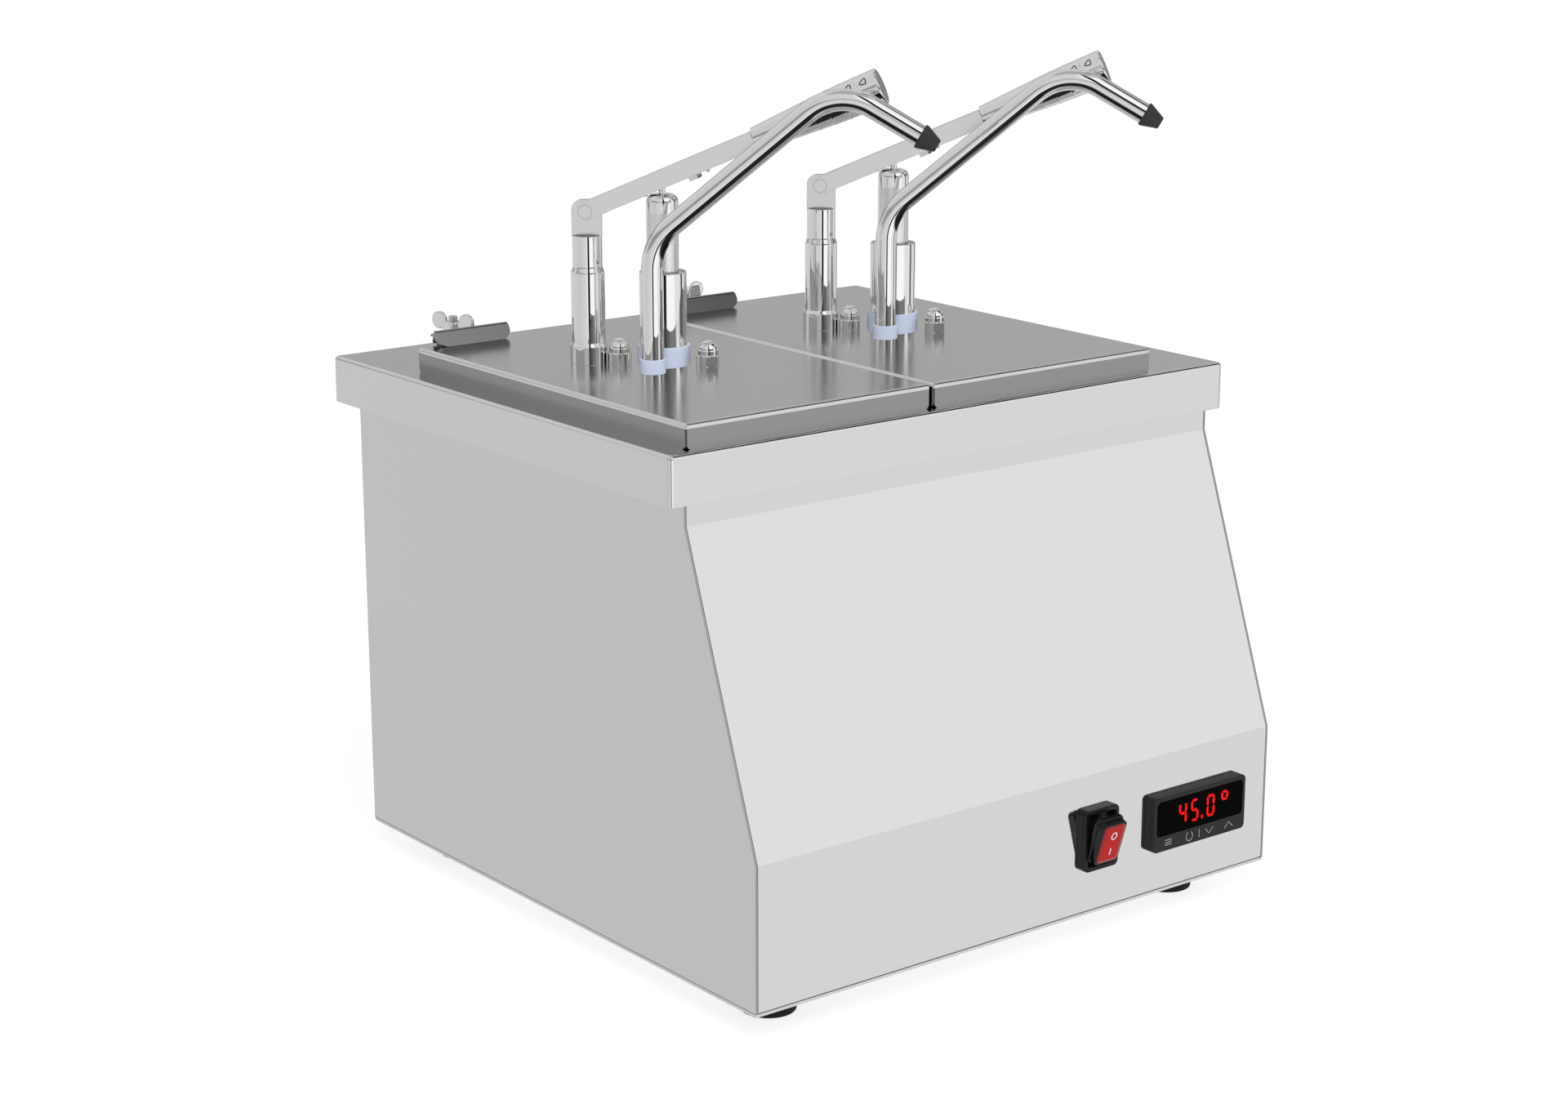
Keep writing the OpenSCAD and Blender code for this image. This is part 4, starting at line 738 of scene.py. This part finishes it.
def switch():
    """Housing with its contacts, rubber surround, and a red lens with its two signs."""
    place, n = upright(*SWITCH), 8
    groove = [(0, 0), (0, 2.0), (0.2, 2.12), (0.2, 2.24), (0, 2.36)]
    rings = mid_stack(27.5, 38.5, 3.5, groove + edge(4.5, 0, 0.6)[::-1], n)
    rings += mid_stack(22.6, 32.8, 2.4, [(-0.4, 4.5), (-0.1, 4.35), (0, 4.0), (0, -2.5)], n)
    form = Form().add(loft(rings), place)
    form.add(loft(mid_stack(24.2, 34.8, 1.0, [(0, 0.0), (0, -28)], n), (False, True)), place)
    for z in (-8, 0, 8):
        form.add(mid_slab(6, 0.8, -36, -27, 0.1), shift(place, 0, z), 1)
    form.piece("switch_housing", "casing", [black_plastic, bright_steel], "black_plastic", ["switch_body"])

    boot = Form().add(mid_slab(21.6, 30.2, -4, -1, 3.6, 0.5, 1.0, n), rocker)
    rings = mid_stack(19.6, 28.2, 3.2, [(0, -1.2)] + edge(3.2, 0, 0.9)[::-1], n)
    rings += mid_stack(17.0, 25.6, 2.5, [(0, 3.2), (0, 1.8)], n)
    boot.add(loft(rings), rocker)
    boot.piece("switch_surround", "rocker", [boot_rubber], "boot_rubber", ["switch_boot"], 30)

    def lens(i, z):
        return rrect(-8.45 + i, -12.75 + i, 8.45 - i, 12.75 - i, 2.6 - i * 0.7, z, n)

    rim = [lens(0, 1.8), lens(0, 3.25), lens(0.12, 3.42), lens(1.75, 3.92), lens(1.95, 3.95)]
    glass = Form().add(loft(rim, (True, False)), rocker)
    glass.add(loft([rim[-1], lens(2.0, 3.955)], (False, True)), rocker, 1)
    glass.piece("switch_lens", "rocker", [lens_rim, red_lens], "red_lens", ["rocker_lens"], 40)

    marks, sign_x, sign_w, z0, z1 = Form(), 0.1, 0.75, 3.95, 4.0
    off_sign = [(sign_x + 1.95 * sin(a), 5.8 + 2.3 * cos(a)) for a in
                [radians(v) for v in range(0, 360, 15)]]
    marks.add(stroke(off_sign, sign_w, z0, z1, True), rocker)
    marks.add(stroke([(sign_x, -7.4), (sign_x, -2.8)], sign_w, z0, z1), rocker)
    marks.piece("switch_marks", "rocker", [print_white], "red_lens")


# Hold-down clamps
def clamp_rings():
    """Rings along the folded strip: wide flap with rounded corners, ridge, narrow tongue and its tip."""
    t, rest = 1.5, 0.05
    foot, ridge, narrow_y = (-26.5, rest), (-19.5, 10.8), -14.6
    wide, shoulder, tongue, tip = 26.2, 24.2, 10, 6
    corner, corner_from = 8, 18.7
    line = fillet([foot, ridge, (-14.5, 1.55), (11.0, 1.55), (11.0, -14.45)], [0, 1.6, 2.4, 1.8, 0], 5)

    def ring(p, d, half):
        """Ring at p, with the sheet below a line that heads along d."""
        z = p[1] - d.x * t
        low = (p[0] + d.y * t, max(z, rest) if p[0] < 5 else z)
        return [(-half, *p), (half, *p), (half, *low), (-half, *low)]

    rings = []
    climb = (Vector(ridge) - Vector(foot)).normalized()
    corner_end = 0.75
    for f in (0, 0.02, 0.06, 0.12, 0.2, 0.3, 0.42, 0.55, corner_end):
        half = corner_from + sqrt(corner ** 2 - max(corner - 14.5 * f, 0) ** 2)
        rings.append(ring([foot[c] + f * (ridge[c] - foot[c]) for c in (0, 1)], climb, half))
    half = wide
    for k, p in enumerate(line):
        if p[0] <= foot[0] + corner_end * (ridge[0] - foot[0]):
            continue
        if p[0] < ridge[0]:
            widths = [wide]
        elif p[0] < narrow_y:
            widths = [25.8 - (p[0] - ridge[0]) * 0.3]
        else:
            want = tongue if p[1] > 0 else tip
            widths = [want] if half == want else [min(half, shoulder), want]
        for half in widths:
            rings.append(ring(p, heading(line, k), half))
    return rings


def wing_nut(place):
    """Cast nut: tapered hub and two round wings on webs."""
    form = Form()
    hub = [(3.05, 1.6), (5.5, 1.6), (4.5, 9.6), (3.05, 9.6), (3.05, 1.6)]
    form.add(turned(hub, [0, 0.5, 1.0, 0.3, 0], 4, 48), place)
    wing_r, wing_x, wing_up, half = 5.5, 10.25, 9.6, 1.35
    disc = [(0, -half)] + [(wing_r - k, z) for k, z in edge(-half, 1, 1.0)]
    disc += [(r, -z) for r, z in disc[::-1]]
    for s in (-1, 1):
        form.add(lathe(disc, 48), crosswise(place, s * wing_x, wing_up))
        web = fillet([(s * 3.6, 2.6), (s * 8.5, 4.8), (s * 8.5, 9.0), (s * 3.6, 9.3)], 0.5, 2, True)
        form.add(prism(web, -1.3, 1.3), crosswise(place))
    return form


def clamps():
    """Folded strips, wing nuts, and studs with a thread."""
    thread = [(0, -14.5), (5, -14.5), (3, -12.5)]
    for z in range(-12, 13):
        thread += [(3.0, z), (3.0, z + 0.15), (2.62, z + 0.5), (2.62, z + 0.6)]
    thread += [(2.5, 12.9), (2.2, 13.0), (0, 13.0)]
    studs = Form()
    for i, turn in enumerate(NUT_TURNS):
        n, c, s = i + 1, cos(turn), sin(turn)

        def stud(p):
            return stud_at(i, p)

        def nut(p):
            return stud((p[0] * c - p[1] * s, p[0] * s + p[1] * c, p[2]))

        strip = Form().add(loft(clamp_rings()), stud)
        strip.piece(f"clamp_strip_{n}", f"clamp_body_{n}", [clamp_steel], "clamp_steel",
                    [f"clamp_{n}"], 28, 0.25)
        wing_nut(nut).piece(f"wing_nut_cast_{n}", f"wing_nut_body_{n}", [chrome], "chromed",
                            [f"wing_nut_{n}"], 35)
        studs.add(lathe(thread, 32), stud)
    studs.piece("stud_threads", "casing", [bright_steel], "bright_steel", ["clamp_studs"], 25)


# Pumps
def spout_line():
    """Points of the spout's middle line: upright, bent, rising, bent again and down to its end."""
    bend, start, end_x = 33.0, -147.8, 153.1
    (x0, z0), (x1, z1) = (SPOUT_X, 76.4), (106.5, 167.2)
    rise = atan2(z1 - z0, x1 - x0)
    back = bend * tan((rise + SPOUT_DROP) / 2)
    low = (x0 + bend, z0 - bend * tan((pi / 2 - rise) / 2))
    c, s = cos(rise), sin(rise)
    high = (x1 - back * c + bend * s, z1 - back * s - bend * c)
    pts = [(x0, start)]
    for centre, v0, v1, steps in ((low, pi, pi / 2 + rise, 14),
                                  (high, pi / 2 + rise, pi / 2 - SPOUT_DROP, 18)):
        for k in range(steps + 1):
            v = v0 + (v1 - v0) * k / steps
            pts.append((centre[0] + bend * cos(v), centre[1] + bend * sin(v)))
    pts.append((end_x, z1 - (end_x - x1) * tan(SPOUT_DROP)))
    return [(x, SPOUT_Y, z) for x, z in pts]


def hex_radius(flats):
    """Radius of a hexagon over its flats, cut by the round profile."""
    return lambda r, a: min(r, flats / 2 / cos((a + pi / 6) % (pi / 3) - pi / 6))


def collars(at, n):
    """Collars round the barrel and the spout tube."""
    form = Form()
    for bore, outer, top, sides, place in ((13.97, 15.7, 12.2, 96, at),
                                           (6.32, 7.6, 8.6, 64, shift(at, SPOUT_X, SPOUT_Y))):
        outline = [(bore, SEAT), (outer, SEAT), (outer + 0.05, top), (bore, top), (bore, SEAT)]
        form.add(turned(outline, [0, 0.3, 0.4, 0.3, 0], 3, sides), place)
    ob = form.piece(f"collars_{n}", f"lid_body_{n}", [ring_plastic], "ring_plastic", [f"seal_rings_{n}"])
    ob.visible_glossy = False


def barrel(at, n):
    """Tube with a slight waist and a guide for the plunger at its top."""
    r, waist, bore, guide, low, top = BARREL_R, 13.8, 12.35, 9.5, -142, 55.5
    outline = [(bore, low), (r, low), (r, 12), (waist, 22), (waist, 31), (r, 41), (r, top), (bore, top),
               (bore, 53.5), (guide, 53.5), (guide, 47.5), (bore, 47.5), (bore, low)]
    form = Form().add(turned(outline, [0, 0.2, 0, 0, 0, 0, 0.5, 0.4, 0.1, 0.4, 0.2, 0.1, 0], 4, 112), at)
    form.piece(f"barrel_tube_{n}", f"lid_body_{n}", [chrome], "chromed", [f"barrel_{n}"], 30)


def plunger(at, n):
    """Piston with two grooves, ground shaft, smooth cap and rod."""
    piston, groove, shaft = 11.95, 10.55, 9.45
    outline = [(0, -52), (11.9, -52), (piston, -49.0), (groove, -49.0), (groove, -47.2), (piston, -47.2),
               (piston, -44.2), (groove, -44.2), (groove, -42.4), (piston, -42.4), (piston, -40),
               (shaft, -40), (shaft, 90.5)]
    form = Form().add(turned(outline, 0.2, 2, 96), at, 1)
    cap = [(shaft, 90.5), (shaft, 94.0), (shaft, 96.0)]
    cap += [(4.95 + 4.5 * cos(v), 96.5 + 4.5 * sin(v)) for v in quarter(10)]
    rod_line = [(4.9, 101), (3.2, 101.0), (2.0, 101.1), (2.0, 108.1), (1.6, 108.5), (0, 108.5)]
    form.add(lathe(cap + fillet(rod_line, [0, 0.3, 0.4, 0.1, 0.1, 0], 3), 96), at)
    form.piece(f"plunger_rod_{n}", f"plunger_body_{n}", [chrome, plated], "chromed", [f"plunger_{n}"], 30)


def return_spring(at, n):
    """Spring with closed ends, at one length."""
    wire, mean_r, low, high, stroke_l = 0.8, 10.95, -141.89, -52.11, 29.5
    turns, per_turn, end_pitch = 11, 20, 1.65
    section = [(mean_r + wire * cos(b), wire * sin(b)) for b in [pi / 4 * j for j in range(8)]]
    coil = []
    for k in range(turns * per_turn + 1):
        turn = k / per_turn
        f = min(max(turn - 1, 0) / (turns - 2), 1)
        ends = end_pitch * (min(turn, 1) + max(turn - (turns - 1), 0))
        z = low + wire + ends + f * (high - low - 2 * wire - 2 * end_pitch)
        c, s = cos(2 * pi * turn), sin(2 * pi * turn)
        coil.append([(r * c, r * s, z + up) for r, up in section])
    form = Form().add(loft(coil), at)
    spring = form.piece(f"return_coil_{n}", f"plunger_body_{n}", [bright_steel], "bright_steel",
                        [f"return_spring_{n}"], 60)
    tuple(row(at((0, 0, high))))
    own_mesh(spring)


def post(at, n):
    """Turned post with its flat tongue, and the pivot pin."""
    body, foot, pivot = f"lid_body_{n}", shift(at, -POST_X), crosswise(at, -POST_X, PIVOT_Z)
    spigot, wide, shaft, neck, shoulder, low, neck_top = 4, 11.15, 9.95, 8.8, 8.3, -5.5, 75.8
    outline = [(0, low), (spigot, low), (spigot, SEAT), (wide, SEAT), (wide, 10.5), (shaft, 12.5),
               (shaft, 54.2), (neck, 57.6), (neck, neck_top), (shoulder, neck_top)]
    form = Form().add(turned(outline, [0, 0, 0, 0.2, 0.9, 0.9, 4, 4, 0.3, 0], 4, 96), foot)
    # the post's top takes the third material: painted shade of the gap below the lever's fork
    form.add(lathe([(shoulder, neck_top), (0, neck_top)], 96), foot, 2)
    tongue = fillet([(-neck, 75.0), (neck, 75.0), (neck, 96.8), (-neck, 96.8)], [0.05, 0.05, 6, 6], 10, True)
    form.add(prism(tongue, -2.2, 2.2), crosswise(at, -POST_X), 1)
    hole = Form().add(rod(PIN_R, -6, 6, 48), pivot)
    form.piece(f"post_turned_{n}", body, [chrome, lever_steel, painted_shade_steel], "chromed", [f"post_{n}"], 30,
               0.15, [hole])
    pin = [(0, -5.5), (PIN_R, -5.5), (PIN_R, 5.5), (0, 5.5)]
    form = Form().add(turned(pin, [0, 0.12, 0.12, 0], 2, 48), pivot)
    form.piece(f"pin_{n}", body, [lever_steel], "bright_steel", [f"pivot_pin_{n}"], 30)


def lever(on, n):
    """Bar with a fork, a slot for the plunger's rod, screw holes, and a tang for the grip."""
    body, half, half_w, c = f"lever_body_{n}", 5.25, 5.5, cos(LEVER_RISE)
    outline = [(GRIP_X, -half), (GRIP_X, half)]
    outline += [(half * cos(v), half * sin(v)) for v in
                [pi / 2 + pi * k / 16 for k in range(17)]]
    form = Form().add(prism(outline, -half_w, half_w), crosswise(on))
    fork = (8.8 + half * sin(LEVER_RISE)) / c + 0.7
    cuts = [Form().add(slab(-12, -2.45, fork, 2.45, -12, 12, 0.3), on),
            Form().add(rod(PIN_R + 0.05, -7, 7, 64), crosswise(on)),
            Form().add(slab(41.6, -2.4, POST_X / c + 2.4, 2.4, -12, 1.6, 0.4), on)]
    for x, r, top, sides in ((67.6, 2.0, 3.3, 32), (76.1, 1.0, 3.3, 24), (36.2, 1.0, 0, 24)):
        cuts.append(Form().add(rod(r, -8, top, sides), shift(on, x)))
    form.piece(f"lever_bar_{n}", body, [lever_steel], "lever_steel", [f"lever_{n}"], 30, 0.18, cuts)
    tang = Form().add(rod(3.5, GRIP_X - 1, GRIP_X + 60, 32), lengthwise(on))
    tang.piece(f"lever_tang_{n}", body, [lever_steel], "lever_steel")


def grip(on, n):
    """Tapered handle with raised rings, and outlined triangles: painted shade drawn for the rims of dimples.
    """
    at = lengthwise(on, GRIP_X)
    length, knee = 80.4, 0.65 * 80.4
    bore, end_r, end_z = 3.52, 9.8, 80.3

    def radius(x):
        return 7.2 + 3.3 * x / knee if x < knee else 10.5 + 0.5 * (x - knee) / (length - knee)

    shell = [(bore, 0.05), (6.6, 0.05), (7.0, 0.2), (7.2, 0.7), (radius(20), 20)]
    for x in (38.2, 47.7, 57.2, 66.7):
        shell += [(radius(x + d) + up, x + d) for d, up in ((-0.7, 0), (-0.25, 0.2), (0.25, 0.2), (0.7, 0))]
    shell += [(11.0, 78.9), (10.9, 79.7), (10.4, 80.2), (end_r, length)]
    form = Form().add(lathe(shell, 96), at)
    form.add(lathe([(end_r, length), (9.4, end_z), (0, end_z)], 96), at, 1)
    form.add(lathe([(bore, 0.05), (bore, 60), (0, 60)], 96), at)
    for middle in (43.0, 52.4, 61.9, 71.3):
        for side in (-1, 1):
            def on_cone(p):
                """A point of the flat outline, wrapped on the handle: along it, round it and out of it."""
                x = middle + p[0]
                v = side * radians(48) + p[1] / radius(x)
                r = radius(x) + p[2]
                return at((r * sin(v), r * cos(v), x))

            corners = [(-2.4, side * 1.6), (2.4, side * 2.6), (2.4, side * -2.4)]
            # the outlines take the third material, as painted shade at the dimples' rims
            form.add(stroke(fillet(corners, 0.8, 4, True), 0.7, -0.3, 0.12, True), on_cone, 2)
    # the handle's chrome carries the painted dark reflection along its underside
    form.piece(f"grip_turned_{n}", f"lever_body_{n}", [chrome_painted_underside, grip_end, painted_shade_steel], "chromed",
               [f"grip_{n}"], 40)


def spout(at, n):
    """Bent tube, and the nozzle on its end."""
    body, line, side = f"lid_body_{n}", spout_line(), (0, 1, 0)
    rings = sweep(line, side, SPOUT_R, 56) + sweep(line, side, 5.0, 56)[::-1]
    form = Form().add(loft(rings, closed=True), at)
    # the tube's chrome carries a painted dark reflection along its underside
    form.piece(f"spout_pipe_{n}", body, [chrome_painted_underside], "chromed", [f"spout_tube_{n}"], 40)
    x, y, z = line[-1]
    c, s = cos(SPOUT_DROP), sin(SPOUT_DROP)

    def down(p):
        return at((x + p[2] * c + p[0] * s, y + p[1], z - p[2] * s + p[0] * c))

    bore, plug, brim = 2.3, 4.96, 7.25
    outline = [(bore, -8), (plug, -8), (plug, SEAT), (brim, SEAT), (brim, 1.6), (3.65, 11.6), (bore, 11.6),
               (bore, -8)]
    form = Form().add(turned(outline, [0, 0.2, 0, 0.5, 0.5, 0.5, 0.3, 0], 4, 64), down)
    form.piece(f"nozzle_tip_{n}", body, [nozzle_rubber], "nozzle_rubber", [f"nozzle_{n}"], 30)


def dome_nuts(at, n):
    """Two hexagon nuts with domes; round inside, for the flange's studs."""
    form, flats, bore, dome_r, dome_z = Form(), 13, 4.02, 6.25, 8.75
    hexagon = [(bore, SEAT), (7.0, SEAT), (7.55, 0.45), (7.55, 5.6), (7.2, 6.1), (6.5, 6.5)]
    dome = [(6.5, 6.5), (6.3, 6.5), (dome_r, 6.8), (dome_r, dome_z)]
    dome += [(dome_r * cos(v), dome_z + dome_r * sin(v)) for v in quarter(14)[1:]]
    for s in (-1, 1):
        place = shift(at, s * NUT_X)
        form.add(lathe(hexagon, 120, hex_radius(flats)), place)
        form.add(lathe(dome, 120, hex_radius(flats)), place)
        form.add(lathe([(bore, SEAT), (bore, 9), (0, 9)], 120), place)
    form.piece(f"cap_nuts_{n}", f"lid_body_{n}", [chrome], "chromed", [f"dome_nuts_{n}"], 22)


def pumps():
    for i in range(2):
        def at(p):
            return pump(i, p)

        def on(p):
            return lever_at(i, p)

        for build in (collars, barrel, plunger, return_spring, post):
            build(at, i + 1)
        for build in (lever, grip):
            build(on, i + 1)
        for build in (spout, dome_nuts):
            build(at, i + 1)


front_panel()
deck()
lids()
feet()
controller()
digits()
switch()
clamps()
pumps()

# CAD nodes that stay
KEPT = dict.fromkeys(("foot_screws", "temperature_probe", "pump_flange", "inlet_ball", "lever_screws"),
                     bright_steel)
KEPT |= dict.fromkeys(("water_tank", "pan_1", "pan_2"), pan_steel)
KEPT |= {"casing_shell": shell_steel, "base_plate": casing_steel, "heating_element": element_metal,
         "cable_gland": black_plastic, "relay_board": board_green, "valve_block": valve_plastic,
         "piston_seals": seal_rubber}
BEVELLED = {"casing_shell": 0.2, "base_plate": 0.3, "relay_board": 0.3, "lever_screws": 0.3,
            "cable_gland": 0.5, "valve_block": 0.8}
for node_name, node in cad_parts.items():
    key = node_name if node_name in KEPT else node_name.rsplit("_", 1)[0]
    if key not in KEPT:
        continue
    node.data.materials.clear()
    node.data.materials.append(KEPT[key])
    if key in BEVELLED:
        add_bevel(node, BEVELLED[key])


# Studio
def floor():
    """White to the camera with a faint shadow; to the metal, paler in front than behind."""
    radius, z, sides = 0.8, -0.0005, 96
    turns = [2 * pi * k / sides for k in range(sides)]
    points = [(radius * cos(a), radius * sin(a), z) for a in turns]
    me = bpy.data.meshes.new("floor")
    me.from_pydata(points, [], [tuple(range(sides))])
    mat = bpy.data.materials.new("floor")
    mat.use_nodes = True
    tree = mat.node_tree
    tree.nodes.clear()
    graph = Graph(tree)
    front, behind, to_camera = 0.80, 0.64, 0.82
    tone = graph.mix(graph.step(graph.split(graph.coords())["Y"], -0.26, -0.12), front, behind)
    ray = graph.add("ShaderNodeLightPath").outputs["Is Camera Ray"]
    glow = graph.add("ShaderNodeEmission")
    graph.put(glow.inputs["Strength"], graph.mix(ray, tone, to_camera))
    paint = graph.add("ShaderNodeBsdfDiffuse")
    paint.inputs["Color"].default_value = (0.25, 0.25, 0.25, 1)
    both, only = graph.add("ShaderNodeAddShader"), graph.add("ShaderNodeMixShader")
    surface = graph.add("ShaderNodeOutputMaterial").inputs["Surface"]
    for value, socket in ((glow.outputs[0], both.inputs[0]), (paint.outputs[0], both.inputs[1]),
                          (ray, only.inputs[0]), (glow.outputs[0], only.inputs[1]),
                          (both.outputs[0], only.inputs[2]), (only.outputs[0], surface)):
        graph.put(socket, value)
    me.materials.append(mat)
    ob = new_object("floor", me)


# Camera angles, and the studio's walls as (degrees round the part, brightness); MID is a band of
# them, from about 1 to 25 degrees up, and LOW the rest
YAW, PITCH = 0.66413, 0.25913
LOW = [(-180, 0.60), (-160, 0.62), (-118, 0.66), (-90, 0.62), (-45, 0.60), (-32, 0.66), (-8, 0.68),
       (3, 0.95), (5, 0.01), (17, 0.01), (19, 1.0), (56, 1.0), (64, 0.80), (92, 0.80), (96, 0.60),
       (99, 0.02), (106, 0.02), (109, 0.75), (138, 0.70), (142, 0.10), (150, 0.10), (155, 0.62),
       (180, 0.60)]
MID = [(-180, 0.41), (-165, 0.41), (-158, 0.32), (-114, 0.32), (-108, 0.60), (-88, 0.60), (-82, 0.30),
       (-26, 0.30), (-19, 0.48), (2, 0.48), (5, 0.05), (30, 0.05), (36, 0.14), (64, 0.14), (69, 0.897),
       (86, 0.897), (91, 0.10), (112, 0.12), (120, 0.26), (158, 0.26), (165, 0.41), (180, 0.41)]


def ramp(graph, turn, stops):
    """Brightness by the angle round the part; turn is 0 to 1 for -180 to 180 degrees."""
    node = graph.add("ShaderNodeValToRGB")
    elements = node.color_ramp.elements
    node.color_ramp.interpolation = "LINEAR"
    while len(elements) > 1:
        elements.remove(elements[-1])
    for k, (deg, value) in enumerate(stops):
        place = deg / 360 + 0.5
        el = elements[0] if k == 0 else elements.new(place)
        el.position = place
        el.color = (value, value, value, 1)
    graph.put(node.inputs["Fac"], turn)
    return graph.math("ADD", node.outputs["Color"], 0.0)


def studio():
    """White to the camera; a studio of pale walls with dark gaps to everything else."""
    world = bpy.data.worlds.new("studio")
    bpy.context.scene.world = world
    world.use_nodes = True
    world.node_tree.nodes.clear()
    graph = Graph(world.node_tree)
    x, y, z = graph.split(graph.coords("Generated"))
    sy, cy = sin(YAW), cos(YAW)
    towards = graph.math("ADD", graph.math("MULTIPLY", x, -sy), graph.math("MULTIPLY", y, -cy))
    right = graph.math("ADD", graph.math("MULTIPLY", x, cy), graph.math("MULTIPLY", y, -sy))
    angle = graph.math("ARCTAN2", right, towards)
    turn = graph.math("MULTIPLY_ADD", angle, 1 / (2 * pi), 0.5)
    deg = graph.math("MULTIPLY", angle, 180 / pi)
    level = graph.math("MULTIPLY", graph.math("ARCSINE", z), 180 / pi)
    dark_tone, top_tone, below_tone = 0.02, 0.42, 0.62
    low = ramp(graph, turn, LOW)
    value = graph.mix(graph.step(level, 1, 7), low, ramp(graph, turn, MID))
    value = graph.mix(graph.step(level, 17, 25), value, low)
    dark = graph.math("MULTIPLY", graph.patch(deg, 85.5, 124, 8), graph.patch(level, 33, 60, 4))
    value = graph.mix(dark, value, dark_tone)
    value = graph.mix(graph.step(level, 62, 72), value, top_tone)
    value = graph.mix(graph.step(level, -32, -44), value, below_tone)
    ray = graph.add("ShaderNodeLightPath").outputs["Is Camera Ray"]
    back = graph.add("ShaderNodeBackground")
    back.inputs["Color"].default_value = (1, 1, 1, 1)
    graph.put(back.inputs["Strength"], graph.mix(ray, value, 1.0))
    graph.put(graph.add("ShaderNodeOutputWorld").inputs["Surface"], back.outputs[0])


def lamp(name, place, size, power):
    """Soft lamp aimed at the part's middle."""
    middle = Vector((0, 0, 0.25))
    data = bpy.data.lights.new(name, "AREA")
    data.size, data.energy = size, power
    ob = new_object(name, data)
    ob.location = place
    ob.rotation_euler = (middle - Vector(place)).to_track_quat("-Z", "Y").to_euler()
    ob.visible_glossy = False


def camera():
    """The photograph's viewing point, solved from its straight edges."""
    data = bpy.data.cameras.new("camera")
    data.lens, data.sensor_width = 69.501, 36.0
    ob = new_object("camera", data)
    ob.location = row((-935.617, -1220.393, 670.881))
    ob.rotation_euler = (pi / 2 - PITCH, 0, -YAW)
    bpy.context.scene.camera = ob


floor()
studio()
lamp("key", (-1.2, -1.6, 1.9), 1.2, 40)
lamp("fill", (1.8, -0.9, 1.3), 1.4, 16)
camera()
bpy.context.scene.view_settings.view_transform = "Standard"
